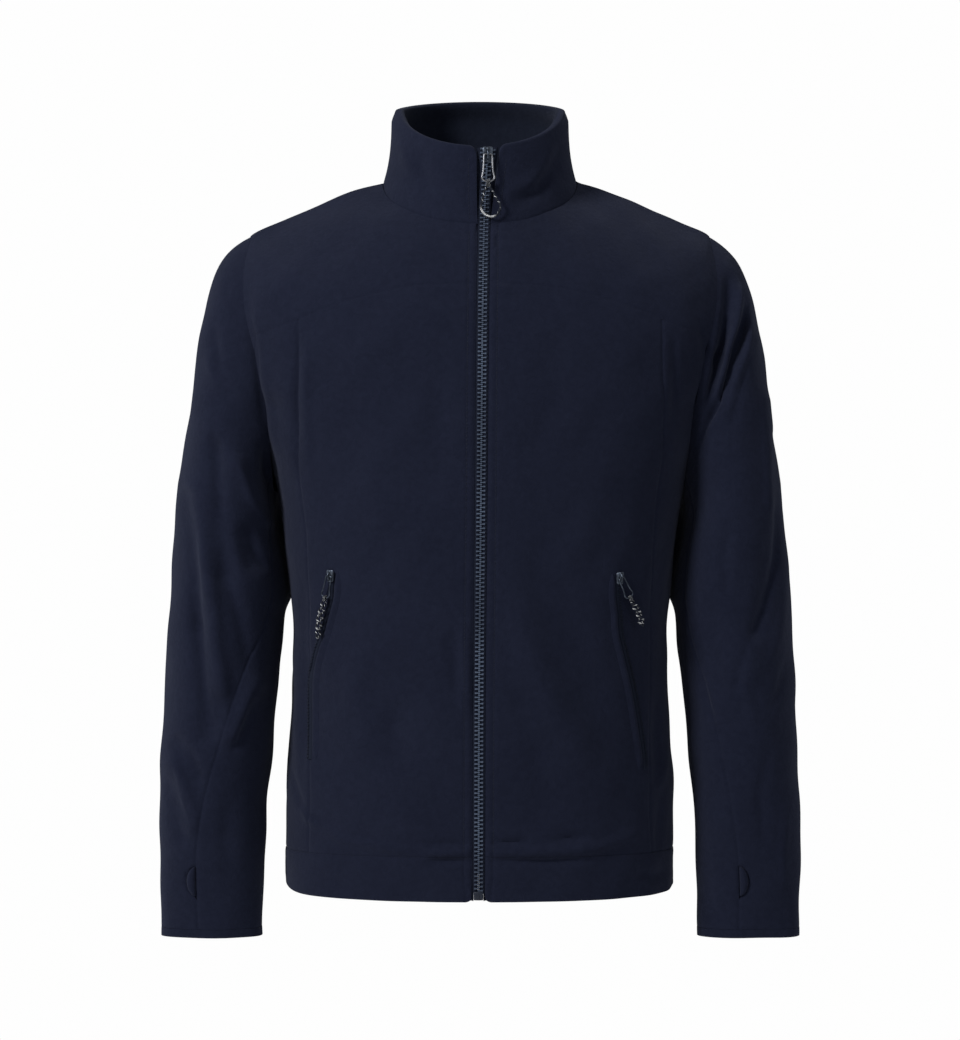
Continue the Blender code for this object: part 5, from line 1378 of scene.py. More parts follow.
def collar_layers():
    """The collar's outer and inner face as grids, and its directions outward."""
    heights = np.array(COLLAR_SHARES)
    ends = np.array(COLLAR_END_SHARES)
    share = np.concatenate([ends, np.linspace(0.02, 0.98, COLLAR_STATIONS), 1 - ends[::-1]])
    start = edge_angle(np.array([NECK_DROP]), 1)[0]
    end = 2 * np.pi + edge_angle(np.array([NECK_DROP]), -1)[0]
    base = start + (end - start) * share
    first, last = (np.array([collar_edge_angle(height, side) for height in heights]) for side in (1, -1))
    angle = (base[:, None] + (1 - share[:, None]) ** COLLAR_EDGE_POWER * (first - first[0])
             + share[:, None] ** COLLAR_EDGE_POWER * (last - last[0]))
    run = np.minimum(share, 1 - share)[:, None] * (end - start) * COLLAR_TOP_FRONT
    height = heights[None] * (1 - corner_cut(run, COLLAR_CORNER) / COLLAR_FRONT_RISE)
    outer = collar_form(angle, height)
    normal = collar_out(angle, height)
    lift = crease_height(COLLAR_CREASES, outer, np.cos(angle)) * MM
    inner = outer + normal * (lift[..., None] - COLLAR_WALL)
    outer = outer + normal * lift[..., None]
    below = (1 - height / height[:, -1:]) * (outer[:, -1:, 2] - outer[:, :1, 2]) / MM
    rolled = np.clip((1 - np.cos(base)) * COLLAR_ROLL_FROM, 0, 1)[:, None] * MM
    outer = outer - normal * (rolled * COLLAR_ROLL_IN * hump(below, COLLAR_ROLL_NEAR))[..., None]
    inner = inner - normal * (rolled * COLLAR_ROLL_THICK * hump(below, COLLAR_ROLL_FAR))[..., None]
    lower = SEAM_DIP * SOFT * hump(height * COLLAR_FRONT_RISE, SEAM_ROUND)
    lower = lower + STITCH_DIP * hump(run - STITCH_FROM_EDGE, STITCH_WIDTH)
    outer = outer - normal * (lower * MM)[..., None]
    outer[:, 0, 2] += SEAM_GAP / 2
    inner[:, 0, 2] = outer[:, 0, 2]
    return outer, inner, normal


def collar_roll(outer, inner, normal):
    """The turn of cloth over the collar's top edge, from its outer to its inner face."""
    centre = (outer[:, -1] + inner[:, -1]) / 2
    half_wall = np.linalg.norm(outer[:, -1] - inner[:, -1], axis=1, keepdims=True) / 2
    roll = []
    for step in range(1, COLLAR_ROLL_STEPS):
        turn = np.pi * step / COLLAR_ROLL_STEPS
        rise = np.array([0, 0, COLLAR_WALL / 2 * COLLAR_TOP_ROUND * math.sin(turn)])
        roll.append(centre + normal[:, -1] * half_wall * math.cos(turn) + rise)
    return np.stack(roll, axis=1)


def collar():
    """The stand collar: two layers, a rolled top edge and rounded front corners."""
    outer, inner, normal = collar_layers()
    rings = np.concatenate([outer, collar_roll(outer, inner, normal), inner[:, ::-1]], axis=1)
    count, around = rings.shape[:2]
    faces = grid_faces(count, around).tolist()
    rows = len(COLLAR_SHARES)
    inside = np.tile(np.arange(around) >= rows + COLLAR_ROLL_STEPS // 2, count - 1)
    for ring in (0, count - 1):
        ladder = [ring * around + k for k in range(around)]
        for k in range(rows - 1):
            faces.append((ladder[k], ladder[k + 1], ladder[around - 2 - k], ladder[around - 1 - k]))
        faces.append(tuple(ladder[rows - 1:around - rows + 1]))
    piece = smooth_object("collar_cloth", rings.reshape(-1, 3), faces, FLEECE)
    # The inner face takes the darker fleece: painted shade inside the collar
    piece.data.materials.append(SHADED_INSIDE_FLEECE)
    is_shaded_inside = np.zeros(len(faces), int)
    is_shaded_inside[:len(inside)] = inside
    piece.data.polygons.foreach_set("material_index", is_shaded_inside)
    declared(piece, "jacket", ["collar"])
    runs = border_runs(outer)
    round(grid_area(outer), 4)
    return piece


def even_route(points, count):
    """Even points along a smooth line through given points."""
    points = np.array(points, float)
    ends = np.vstack([2 * points[0] - points[1], points, 2 * points[-1] - points[-2]])
    fine = []
    for k in range(len(points) - 1):
        a, b, c, d = ends[k:k + 4]
        for t in np.linspace(0, 1, ROUTE_STEPS, endpoint=False):
            fine.append(0.5 * (2 * b + (c - a) * t + (2 * a - 5 * b + 4 * c - d) * t * t
                               + (3 * b - a - 3 * c + d) * t ** 3))
    fine = np.array(fine + [points[-1]])
    run = run_along(fine)
    even = np.linspace(0, run[-1], count)
    return np.stack([np.interp(even, run, fine[:, axis]) for axis in range(3)], axis=-1)


def round_tube(route, radius, sides=10, flatness=1.0, closed=False):
    """Points, faces and braid coordinates of a tube; a flattened one keeps its breadth sideways."""
    route = np.asarray(route, float)
    count = len(route)
    radius = np.broadcast_to(np.asarray(radius, float), (count,))
    tangent = np.roll(route, -1, axis=0) - np.roll(route, 1, axis=0) if closed else np.gradient(route, axis=0)
    tangent = unit(tangent)
    sideways = np.array((1.0, 0.0, 0.0))
    way = np.array(TUBE_WAY) if flatness == 1 else sideways
    turn = 2 * np.pi * np.arange(sides)[:, None] / sides
    points = []
    for k in range(count):
        way = unit(way - tangent[k] * (way @ tangent[k]))
        ring = way * np.cos(turn) + np.cross(tangent[k], way) * np.sin(turn) * flatness
        points.append(route[k] + ring * radius[k])
        way = way if flatness == 1 else sideways
    run = run_along(route) / MM
    run = np.append(run, run[-1] * count / (count - 1))
    faces = []
    uv = []
    for k in range(count if closed else count - 1):
        far = (k + 1) % count
        for i in range(sides):
            j = (i + 1) % sides
            faces.append((k * sides + i, k * sides + j, far * sides + j, far * sides + i))
            uv += [((i + step) / sides, run[k + on]) for step, on in ((0, 0), (1, 0), (1, 1), (0, 1))]
    for ring in () if closed else (0, count - 1):
        faces.append(tuple(ring * sides + i for i in range(sides)))
        uv += [(i / sides, run[ring]) for i in range(sides)]
    return np.concatenate(points), faces, uv


def rounded_ends(route, radius, steps=4):
    """A route and radii for a tube whose two ends are round."""
    route = np.asarray(route, float)
    first = unit(route[0] - route[1])
    last = unit(route[-1] - route[-2])
    turns = np.linspace(0, np.pi / 2, steps + 1)[1:]
    head = [route[0] + first * radius * math.sin(t) for t in turns[::-1]]
    foot = [route[-1] + last * radius * math.sin(t) for t in turns]
    size = [max(math.cos(t), 0.05) * radius for t in turns]
    return np.array(head + list(route) + foot), np.array(size[::-1] + [radius] * len(route) + size)


def slab(outline, front, back, bevel):
    """A flat piece cut to an outline of lateral and up, mirrored, with bevelled edges, all in mm."""
    shape = np.array(list(outline) + [(-x, z) for x, z in reversed(outline) if x > 0], float)
    before = np.roll(shape, 1, axis=0)
    way = np.roll(shape, -1, axis=0) - before
    inward = unit(np.stack([-way[:, 1], way[:, 0]], axis=1))
    area = np.sum(before[:, 0] * shape[:, 1] - shape[:, 0] * before[:, 1])
    inward *= 1 if area > 0 else -1
    small = shape + inward * bevel
    middle = shape + inward * bevel * BEVEL_SHARE
    rings = [(small, front), (middle, front + bevel * BEVEL_SHARE), (shape, front + bevel),
             (shape, back - bevel), (middle, back - bevel * BEVEL_SHARE), (small, back)]
    points = [(x, depth, z) for ring, depth in rings for x, z in ring]
    return np.array(points, float), closed_rings(len(rings), len(shape)), None


def turned(profile, middle):
    """A round piece whose axis points inward, from radii and depths in mm."""
    turn = 2 * np.pi * np.arange(TURNED_SIDES) / TURNED_SIDES
    points = [(middle[0] + radius * math.cos(t), middle[1] + depth, middle[2] + radius * math.sin(t))
              for radius, depth in profile for t in turn]
    return np.array(points, float), closed_rings(len(profile), TURNED_SIDES), None


def gathered(parts):
    """Several parts' points, faces and braid coordinates as one."""
    points = []
    faces = []
    uv = []
    for own_points, own_faces, own_uv in parts:
        start = sum(len(block) for block in points)
        points.append(np.asarray(own_points, float))
        faces += [tuple(start + v for v in face) for face in own_faces]
        uv += list(own_uv) if own_uv is not None else [(0, 0)] * sum(len(face) for face in own_faces)
    return np.concatenate(points), faces, uv


def placed(part, matrix, scale=MM):
    """A part's points scaled and set at a place."""
    points, faces, uv = part
    rows = np.array(matrix)
    return points * scale @ rows[:3, :3].T + rows[:3, 3], faces, uv


def fitted(name, parts, material, body, nodes=()):
    """One object made of parts, riding a body."""
    points, faces, uv = gathered(parts)
    return declared(smooth_object(name, points, faces, material, uv), body, nodes)


def surface_frame(origin, out):
    """A frame whose Y points into the cloth, and whose Z runs up along the zip."""
    inward = -Vector(out).normalized()
    up = Vector((0, 0, 1))
    up = (up - inward * up.dot(inward)).normalized()
    across = inward.cross(up).normalized()
    rows = Matrix((across, inward, up)).transposed()
    return Matrix.Translation(Vector(origin)) @ rows.to_4x4()


def tilted(degrees):
    """A turn about the hinge's axis that lifts a pull off the cloth."""
    return Matrix.Rotation(math.radians(degrees), 4, "X").inverted()


def main_places():
    """Frames of the main slider and of its tab's hinge."""
    place = surface_frame(*zip_places(SLIDER_Z, 0))
    return place, place @ Matrix.Translation((0, -HINGE_OUT * MM, 0)) @ tilted(MAIN_TILT)


def pocket_places(side):
    """Frames of a pocket's slider and of its tab's hinge."""
    x, z = POCKETS[side][0]
    angle, drop = front_place(np.array(x, float), np.array(z - POCKET_SLIDER_DOWN))
    face, deep = torso_wall(angle, drop)
    out = (face - deep) / WALL
    place = surface_frame(face + out * POCKET_SLIDER_LIFT * MM, out)
    lean = Matrix.Rotation(math.radians(POCKET_LEAN[side_name(side)]), 4, "Y")
    out_from = Matrix.Translation((0, -HINGE_OUT * MM * POCKET_SLIDER_SCALE, 0))
    return place, place @ out_from @ lean @ tilted(POCKET_TILT)


def knot_piece(name, hinge, scale, body):
    """The pull cord's knot, with its two turns over the foot of the tab."""
    turn = np.linspace(0, 2 * np.pi, KNOT_STEPS, endpoint=False)
    wide = KNOT_RING + KNOT_TUBE * np.cos(3 * turn)
    loop = np.stack([wide * np.cos(2 * turn), KNOT_TUBE * np.sin(3 * turn), wide * np.sin(2 * turn)], axis=1)
    loop = loop * KNOT_STRETCH + (0, 0, KNOT_Z)
    parts = [round_tube(loop, KNOT_CORD, 10, closed=True)]
    for aside in (-KNOT_ASIDE, KNOT_ASIDE):
        over = np.linspace(-KNOT_OVER_PAST, np.pi + KNOT_OVER_PAST, KNOT_OVER_STEPS)
        route = np.stack([np.full(len(over), aside), np.cos(over) * KNOT_OVER,
                          TAB_FOOT + np.sin(over) * KNOT_OVER], axis=1)
        route[[0, -1], 2] -= KNOT_OVER
        parts.append(round_tube(route, KNOT_CORD))
    parts.append(turned(KNOT_CORE, (0, 0, KNOT_Z)))
    parts = [placed(part, hinge, MM * scale) for part in parts]
    return fitted(name, parts, POCKET_BRAID, body, [name.replace("_detail", "")])


def cord_piece(name, node, knot, body, hinge, scale, route, rings, sides, material):
    """A pull's cord along a route in its tab's frame, and its knot."""
    places = np.array([tuple(hinge @ Vector(tuple(point))) for point in route])
    smooth = even_route(places, rings)
    cord = fitted(name, [round_tube(smooth, CORD_RADIUS * MM, sides)], material, body, [node])
    tie = knot_piece(knot, hinge, scale, body)
    round(float(run_along(smooth)[-1]), 4)
    [tuple(point) for point in smooth]


def main_cord_piece(hinge):
    """The cord loop of the main pull, with its knot."""
    route = even_route([(x * MM, y * MM, z * MM) for x, y, z in MAIN_CORD], MAIN_CORD_POINTS)
    cord_piece("main_cord_braid", "main_cord", "main_knot_detail", "main_tab", hinge, 1.0,
               route, CORD_RINGS, 12, MAIN_BRAID)


def pocket_cord_piece(side):
    """A pocket pull's cord, doubled and twisted round itself, with its knot."""
    label = side_name(side)
    sway = POCKET_CORD_SWAY * side
    twist = POCKET_CORD[label]
    steps = round(twist.turns * CORD_STEPS_PER_TURN)
    top = KNOT_Z * POCKET_SLIDER_SCALE - POCKET_CORD_DROP
    share = np.arange(steps + 1) / steps
    strands = []
    for phase in (0.0, math.pi):
        turn = phase + 2 * np.pi * twist.turns * share
        radius = POCKET_CORD_RADIUS + POCKET_CORD_SWELL * np.sin(share * np.pi)
        strands.append(np.stack([sway * np.sin(share * np.pi) + radius * np.cos(turn), radius * np.sin(turn),
                                 top - twist.length * share], axis=1))
    end = strands[0][-1]
    start = strands[1][-1]
    bend = [end * (1 - t) + start * t - (0, 0, POCKET_CORD_BEND * math.sin(math.pi * t))
            for t in (0.25, 0.5, 0.75)]
    route = np.concatenate([strands[0], bend, strands[1][::-1]]) * MM
    cord_piece("pocket_cord_braid_" + label, "pocket_cord_" + label, "pocket_knot_%s_detail" % label,
               label + "_pocket_tab", pocket_places(side)[1], POCKET_SLIDER_SCALE,
               route, POCKET_CORD_RINGS, 10, POCKET_BRAID)


def tab_piece(name, hinge, scale, body, metal):
    """The wire tab that hangs in a slider's bail."""
    route = [(x, 0, z) for x, z in TAB_OUTLINE + ((0, TAB_FOOT),)]
    route += [(-x, 0, z) for x, z in reversed(TAB_OUTLINE)]
    fine = np.array([np.array(a) * (1 - t) + np.array(b) * t
                     for a, b in zip(route, route[1:] + route[:1]) for t in (0, 0.34, 0.67)])
    soft = (np.roll(fine, 1, axis=0) + 2 * fine + np.roll(fine, -1, axis=0)) / 4
    wire = round_tube(soft, TAB_WIRE, 12, closed=True)
    return fitted(name + "_wire", [placed(wire, hinge, MM * scale)], metal, body, [name])


def slider_piece(name, place, scale, with_back):
    """A slider: shaped front plate with rolled sides, bail and rivets, and for the main zip its back."""
    parts = [slab(SLIDER_OUTLINE, SLIDER_FACE, SLIDER_BACK, SLIDER_BEVEL)]
    ridge = [(0, SLIDER_FACE + deep, z) for deep, z in SLIDER_RIDGE]
    parts.append(round_tube(even_route(ridge, 14), RIDGE_RADIUS, 10, RIDGE_FLATNESS))
    for side in (-1, 1):
        rail = [(side * x, SLIDER_BACK + deep, z) for x, deep, z in SLIDER_RAIL]
        parts.append(round_tube(*rounded_ends(even_route(rail, 12), RAIL_RADIUS), 8))
    parts.append(round_tube(even_route(BAIL_ARCH, 34), BAIL_WIDTH, 12, BAIL_FLATNESS))
    parts += [turned(RIVET, (0, SLIDER_FACE, z)) for z in RIVET_PLACES]
    if with_back:
        parts += [slab(SLIDER_BACK_OUTLINE, *SLIDER_BACK_CUT), slab(SLIDER_WEDGE, *SLIDER_WEDGE_CUT)]
    return fitted(name + "_detail", [placed(part, place, MM * scale) for part in parts], METAL, "jacket",
                  [name])


def zip_parting(z):
    """How far the zip's halves have parted to each side at a height, all in mm."""
    return ZIP_PART_WIDTH * ramp(z, ZIP_PART_Z, ZIP_PART_SPAN)


def zip_teeth(side):
    """The moulded teeth of one half of the main zip."""
    z = np.arange(ZIP_FOOT_Z + 1.0 + (0 if side > 0 else TOOTH_PITCH / 2), ZIP_TOP_Z, TOOTH_PITCH)
    near, far = TOOTH_OUTLINE[0][0], TOOTH_OUTLINE[-1][0]
    ring_points = []
    for above, share in ((TOOTH_TOP, TOOTH_TOP_SHARE), (TOOTH_SHOULDER, 1.0), (TOOTH_FOOT, 1.0)):
        outline = [(aside, half * share) for aside, half in TOOTH_OUTLINE]
        outline += [(aside, -half * share) for aside, half in reversed(TOOTH_OUTLINE)]
        inset = (1 - share) * TOOTH_INSET
        ring_points += [(min(max(aside, near + inset), far - inset), along, above)
                        for aside, along in outline]
    parted = zip_parting(z)
    middle, out = zip_places(z, np.zeros(len(z)))
    across = unit(zip_places(z, np.full(len(z), 4.0 * side))[0] - middle)
    up = unit(zip_places(z + 1.0, np.zeros(len(z)))[0] - middle)
    faces = closed_rings(3, 2 * len(TOOTH_OUTLINE))
    parts = []
    for k in range(len(z)):
        points = [middle[k] + (across[k] * (aside + parted[k]) + up[k] * along + out[k] * above) * MM
                  for aside, along, above in ring_points]
        parts.append((np.array(points), faces, None))
    label = side_name(side)
    fitted("zip_teeth_" + label, parts, TEETH_MATERIAL, "jacket", ["zip_" + label])


def zip_tape(side):
    """The woven tape of one half of the main zip."""
    z = np.array([TAPE_FOOT_Z, ZIP_FOOT_Z - 2, *np.arange(ZIP_FOOT_Z, ZIP_TOP_Z, TAPE_STEP), ZIP_TOP_Z])
    parted = zip_parting(z)
    tape_end = np.where(z < NECK_FRONT_Z - 1, TAPE_HALF, collar_edge(collar_height(z)) - COLLAR_TAPE_GAP)
    tape_end = np.maximum(tape_end, CHAIN_HALF + parted + TAPE_SHORTEST)
    foot = np.clip((ZIP_FOOT_Z - z) / 2, 0, 1) * (CHAIN_HALF + 0.5)
    columns = []
    for aside, above, reach in TAPE_PROFILE:
        place = np.maximum((aside + parted) * (1 - reach), foot) + tape_end * reach
        if reach == 0.5:
            place = (CHAIN_HALF + parted + tape_end) / 2
        point, way = zip_places(z, place * side)
        columns.append(point + way * above * MM)
    label = side_name(side)
    strip_object("zip_tape_" + label, np.stack(columns, axis=1), TAPE, "zip_" + label)


def zip_box():
    """The box and pin at the foot of the main zip."""
    place = surface_frame(*zip_places(ZIP_BOX_Z, 0))
    groove = even_route(BOX_GROOVE, 8)
    parts = [slab(BOX_OUTLINE, *BOX_CUT), round_tube(*rounded_ends(groove, GROOVE_RADIUS), 8)]
    for z in BOX_BAR_PLACES:
        bar = even_route([(x, deep, z) for x, deep in BOX_BAR], 6)
        parts.append(round_tube(*rounded_ends(bar, BAR_RADIUS), 8))
    fitted("zip_box_detail", [placed(part, place) for part in parts], BOX_MATERIAL, "jacket",
           ["zip_box"])


def cloth_under(panels):
    """A ray target made of finished panels, to lay trim on."""
    points = []
    faces = []
    for panel in panels:
        start = len(points)
        points += [v.co.copy() for v in panel.data.vertices]
        faces += [tuple(start + v for v in face.vertices) for face in panel.data.polygons]
    return BVHTree.FromPolygons(points, faces)


def on_cloth(ground, x, z):
    """The cloth's point seen from the front at x and z in mm, and its outward direction."""
    hit, normal = ground.ray_cast(Vector((x * MM, RAY_START_Y, z * MM)), Vector((0, 1, 0)))[:2]
    return np.array(hit), np.array(normal)


def strip_rings(middle, aside, half, crown, ground, count, lift, taper=0.0):
    """Cross-sections of a strip laid on the front, beside a middle line of x and z in mm."""
    line = even_route([(x, 0, z) for x, z in middle], count)
    tangent = unit(np.gradient(line, axis=0))
    along = np.linspace(0, 1, count)
    sizes = np.ones(count)
    if taper:
        sizes = np.sqrt(np.clip(np.minimum(along, 1 - along) / taper, THINNEST, 1))
    rings = []
    for point, way, size in zip(line, tangent, sizes):
        across = np.array([-way[2], 0, way[0]])
        near, far = (point + across * shift for shift in (aside - half * size, aside + half * size))
        near, far = on_cloth(ground, near[0], near[2])[0], on_cloth(ground, far[0], far[2])[0]
        face, deep = torso_wall(*front_place(np.array(point[0]), np.array(point[2])))
        out = (face - deep) / WALL
        rings.append([near * (1 - share) + far * share + out * (height * size + lift) * MM
                      for share, height in crown])
    return np.array(rings)


def strip_object(name, rings, material, node):
    """A strip from its cross-sections."""
    part = (rings.reshape(-1, 3), closed_rings(*rings.shape[:2]), None)
    return fitted(name, [part], material, "jacket", [node])


def pocket_coil(side, ground):
    """A pocket's coil on its tape."""
    label = side_name(side)
    route = POCKETS[side]
    zip_node = "pocket_zip_" + label
    tape = strip_rings(route, 0, COIL_HALF, COIL_TAPE, ground, TAPE_RINGS, POCKET_SINK)
    strip_object("pocket_tape_" + label, tape, TAPE, zip_node)
    line = even_route([(x, 0, z) for x, z in route], COIL_POINTS)
    run = run_along(line)
    half = np.array([COIL_LENGTH / 2 * MM, 0, COIL_SLANT * COIL_PITCH * MM])
    parts = []
    for k, along in enumerate(np.arange(1.0, run[-1] - 1.0, COIL_PITCH)):
        x, z = (np.interp(along, run, line[:, axis]) for axis in (0, 2))
        point, normal = on_cloth(ground, x, z)
        shift = COIL_ASIDE if k % 2 else -COIL_ASIDE
        middle = point + normal * (COIL_LIFT + POCKET_SINK) * MM + np.array([shift * MM, 0, 0])
        parts.append(round_tube(*rounded_ends([middle - half, middle, middle + half], COIL_WIRE * MM, 2), 6))
    # The coil's colour is partly painted shade of the recess it lies in
    fitted("pocket_coil_" + label, parts, SHADED_COIL_MATERIAL, "jacket", [zip_node])


def pocket_lip(side, ground):
    """The soft lip beside a pocket's coil."""
    label = side_name(side)
    shape = [(1 - share, rise) for share, rise in LIP_SHAPE[::-1]] if side > 0 else LIP_SHAPE
    rings = strip_rings(POCKETS[side], -LIP_OFFSET * side, LIP_HALF, shape, ground, LIP_RINGS, 0.0, LIP_TAPER)
    lip = strip_object("pocket_lip_cloth_" + label, rings, FLEECE, "pocket_lip_" + label)
    length = float(run_along(rings[:, 0])[-1])


def pocket(side, ground):
    """One pocket: its coil, the lip beside it, and the slider with its tab."""
    pocket_coil(side, ground)
    pocket_lip(side, ground)
    label = side_name(side)
    place, hinge = pocket_places(side)
    slider_piece("pocket_slider_" + label, place, POCKET_SLIDER_SCALE, False)
    tab_piece("pocket_pull_" + label, hinge, POCKET_SLIDER_SCALE, label + "_pocket_tab", METAL)


def stitch_line(places, normals):
    """Stitches along a run of places on the cloth, each a short thread dipping in at its ends."""
    run = run_along(places) / MM
    parts = []
    for start in np.arange(1.0, run[-1] - STITCH_LENGTH, STITCH_PITCH):
        stitch = []
        for share, lift in STITCH_ARCH:
            at = start + share * STITCH_LENGTH
            place, normal = (np.array([np.interp(at, run, rows[:, axis]) for axis in range(3)])
                             for rows in (places, normals))
            stitch.append(place + normal * lift * MM)
        parts.append(round_tube(stitch, STITCH_RADIUS * MM, 5))
    return parts


def front_stitches(ground, collar_ground):
    """Topstitching beside the zip, on the fronts and on the collar."""
    low = np.arange(HEM_STITCH_Z, ZIP_STITCH_TOP, FRONT_STITCH_STEP)
    high = np.arange(*COLLAR_STITCH)
    lines = ((ground, low, FRONT_EDGE), (collar_ground, high, collar_edge(collar_height(high))))
    parts = []
    for side in (1, -1):
        for below, z, edge in lines:
            hits = [on_cloth(below, *at) for at in zip(ZIP_X(z) + (edge + STITCH_FROM_EDGE) * side, z)]
            parts += stitch_line(*(np.array(rows) for rows in zip(*hits)))
    fitted("topstitching", parts, THREAD_MATERIAL, "jacket")


class Shading:
    """A node material in the making."""

    def __init__(self, name, roughness, metallic=0.0, sheen=0.0, specular=0.5):
        self.material = bpy.data.materials.new(name)
        self.material.use_nodes = True
        self.nodes = self.material.node_tree.nodes
        self.links = self.material.node_tree.links
        self.shader = self.nodes["Principled BSDF"]
        self.fill(self.shader, (("Roughness", roughness), ("Metallic", metallic),
                                ("Specular IOR Level", specular), ("Sheen Weight", sheen),
                                ("Sheen Roughness", SHEEN_ROUGHNESS), ("Sheen Tint", SHEEN_TINT)))
        self.place = self.nodes.new("ShaderNodeTexCoord")

    def fill(self, node, inputs):
        """Sets a node's sockets to numbers and colours, or links them to other nodes' outputs."""
        for socket, value in inputs:
            if isinstance(value, (int, float, tuple)):
                node.inputs[socket].default_value = value
            else:
                self.links.new(value, node.inputs[socket])

    def noise(self, scale, detail=3.0, roughness=0.55, distortion=0.0):
        texture = self.nodes.new("ShaderNodeTexNoise")
        self.fill(texture, (("Scale", scale), ("Detail", detail), ("Roughness", roughness),
                            ("Distortion", distortion), ("Vector", self.place.outputs["Object"])))
        return texture.outputs["Fac"]

    def ranged(self, value, low, high, to_low=0.0, to_high=1.0):
        """A value whose stretch from low to high is spread over another."""
        change = self.nodes.new("ShaderNodeMapRange")
        self.fill(change, (("From Min", low), ("From Max", high), ("To Min", to_low), ("To Max", to_high),
                           ("Value", value)))
        return change.outputs["Result"]

    def sum_of(self, first, second, kind="ADD"):
        """Two values, or a value and a number, put together."""
        node = self.nodes.new("ShaderNodeMath")
        node.operation = kind
        self.fill(node, ((0, first), (1, second)))
        return node.outputs["Value"]

    def product(self, first, second):
        return self.sum_of(first, second, "MULTIPLY")

    def mixed(self, share, first, second):
        """Two colours mixed by a share; a colour is a tuple or another node's colour."""
        mix = self.nodes.new("ShaderNodeMix")
        mix.data_type = "RGBA"
        self.fill(mix, (("Factor", share), (6, first), (7, second)))
        return mix.outputs[2]

    def finished(self, colour, *bumps):
        """The material with its colour and its bumps, each a height, a distance and a strength."""
        self.links.new(colour, self.shader.inputs["Base Color"])
        below = None
        for height, distance, strength in bumps:
            bump = self.nodes.new("ShaderNodeBump")
            self.fill(bump, (("Distance", distance), ("Strength", strength), ("Height", height)))
            if below is not None:
                self.links.new(below, bump.inputs["Normal"])
            below = bump.outputs["Normal"]
        self.links.new(below, self.shader.inputs["Normal"])
        return self.material


def fleece_material(name, deep, nap, flecked):
    """Brushed polar fleece: a short matted nap with soft clumps and slow shade changes."""
    look = Shading(name, 0.95, sheen=FLEECE_SHEEN, specular=0.03)
    slow = look.noise(16.0, 2.0)
    clump = look.noise(170.0, 4.0, 0.6, 0.6)
    tuft = look.noise(620.0, 3.0, 0.65, 1.2)
    fibre = look.noise(1900.0, 2.0, 0.7)
    shade = look.sum_of(look.ranged(clump, 0.36, 0.66), look.ranged(slow, 0.3, 0.7, 0, 0.6))
    shade = look.product(look.sum_of(shade, look.ranged(tuft, 0.3, 0.72, 0, 0.9)), 0.4)
    fleck = look.product(look.ranged(fibre, 0.64, 0.78), 0.35)
    return look.finished(look.mixed(fleck, look.mixed(shade, deep, nap), flecked),
                         (clump, 0.0011, 0.55), (tuft, 0.0006, 0.7), (fibre, 0.0002, 0.6))


def tape_material():
    """Woven zip tape with its herringbone ribs."""
    look = Shading("zip tape", 0.85, sheen=0.03, specular=0.06)
    weave = look.nodes.new("ShaderNodeTexWave")
    weave.wave_type = "BANDS"
    weave.bands_direction = "DIAGONAL"
    look.fill(weave, (("Scale", 420.0), ("Distortion", 1.5), ("Vector", look.place.outputs["Object"])))
    ribs = weave.outputs["Fac"]
    return look.finished(look.mixed(ribs, NAVY_DEEP, NAVY_TAPE), (ribs, 0.0003, 0.6),
                         (look.noise(900.0), 0.0002, 0.4))


def teeth_material(name, dark, light, specular):
    """Moulded plastic teeth, a little worn and uneven in tone."""
    look = Shading(name, 0.36, specular=specular)
    slow = look.noise(9.0, 2.0)
    fine = look.noise(260.0, 3.0)
    look.links.new(look.ranged(fine, 0.3, 0.7, 0.26, 0.48), look.shader.inputs["Roughness"])
    return look.finished(look.mixed(look.ranged(slow, 0.38, 0.62), dark, light), (fine, 0.0002, 0.25))


def metal_material(name, light, rubbed_glint_from):
    """Dull grey zip metal with small scratches; its sharp edges are lighter, partly rubbed metal and partly
    painted glints.
    """
    look = Shading(name, 0.38, 0.9)
    cloud = look.noise(210.0, 4.0, 0.65)
    scratch = look.noise(1500.0, 2.0, 0.5, 3.0)
    # Sharp edges turn lighter: partly rubbed metal, partly painted glints
    edge = look.nodes.new("ShaderNodeNewGeometry")
    rubbed_glint = look.ranged(edge.outputs["Pointiness"], rubbed_glint_from, rubbed_glint_from + 0.08)
    share = look.sum_of(rubbed_glint, look.ranged(cloud, 0.46, 0.78, 0, 0.4))
    look.links.new(look.ranged(cloud, 0.3, 0.75, 0.30, 0.52), look.shader.inputs["Roughness"])
    return look.finished(look.mixed(share, METAL_DARK, light), (scratch, 0.00012, 0.3), (cloud, 0.0002, 0.2))


def braid_material(name, fleck_share, bright_from, bright_to):
    """Braided cord with light flecks, and a brighter stretch between two places along it in mm."""
    look = Shading(name, 0.7, sheen=0.03, specular=0.15)
    split_uv = look.nodes.new("ShaderNodeSeparateXYZ")
    look.links.new(look.place.outputs["UV"], split_uv.inputs["Vector"])
    around = split_uv.outputs["X"]
    along = split_uv.outputs["Y"]

    def strand(turns, rise, phase):
        """A wave that winds round the cord."""
        lap = look.sum_of(look.product(around, turns), look.product(along, rise))
        return look.sum_of(look.product(look.sum_of(lap, phase), 2 * math.pi), 0.0, "SINE")

    left = strand(4.0, 0.55, 0.0)
    right = strand(-4.0, 0.55, 0.25)
    braid = look.sum_of(left, right, "MAXIMUM")
    fleck = look.product(look.ranged(strand(1.0, 0.17, 0.1), fleck_share, fleck_share + 0.12),
                         look.ranged(left, 0.0, 0.5))
    inside = look.product(look.ranged(along, bright_from - 2, bright_from + 2),
                          look.ranged(along, bright_to - 2, bright_to + 2, 1, 0))
    bright = look.product(look.ranged(right, -0.5, 0.1), inside)
    thread = look.noise(1500.0)
    dark = look.mixed(thread, CORD_DARK, CORD_MIDDLE)
    return look.finished(look.mixed(look.sum_of(fleck, bright, "MAXIMUM"), dark, CORD_LIGHT),
                         (braid, 0.00035, 0.8), (thread, 0.0001, 0.4))


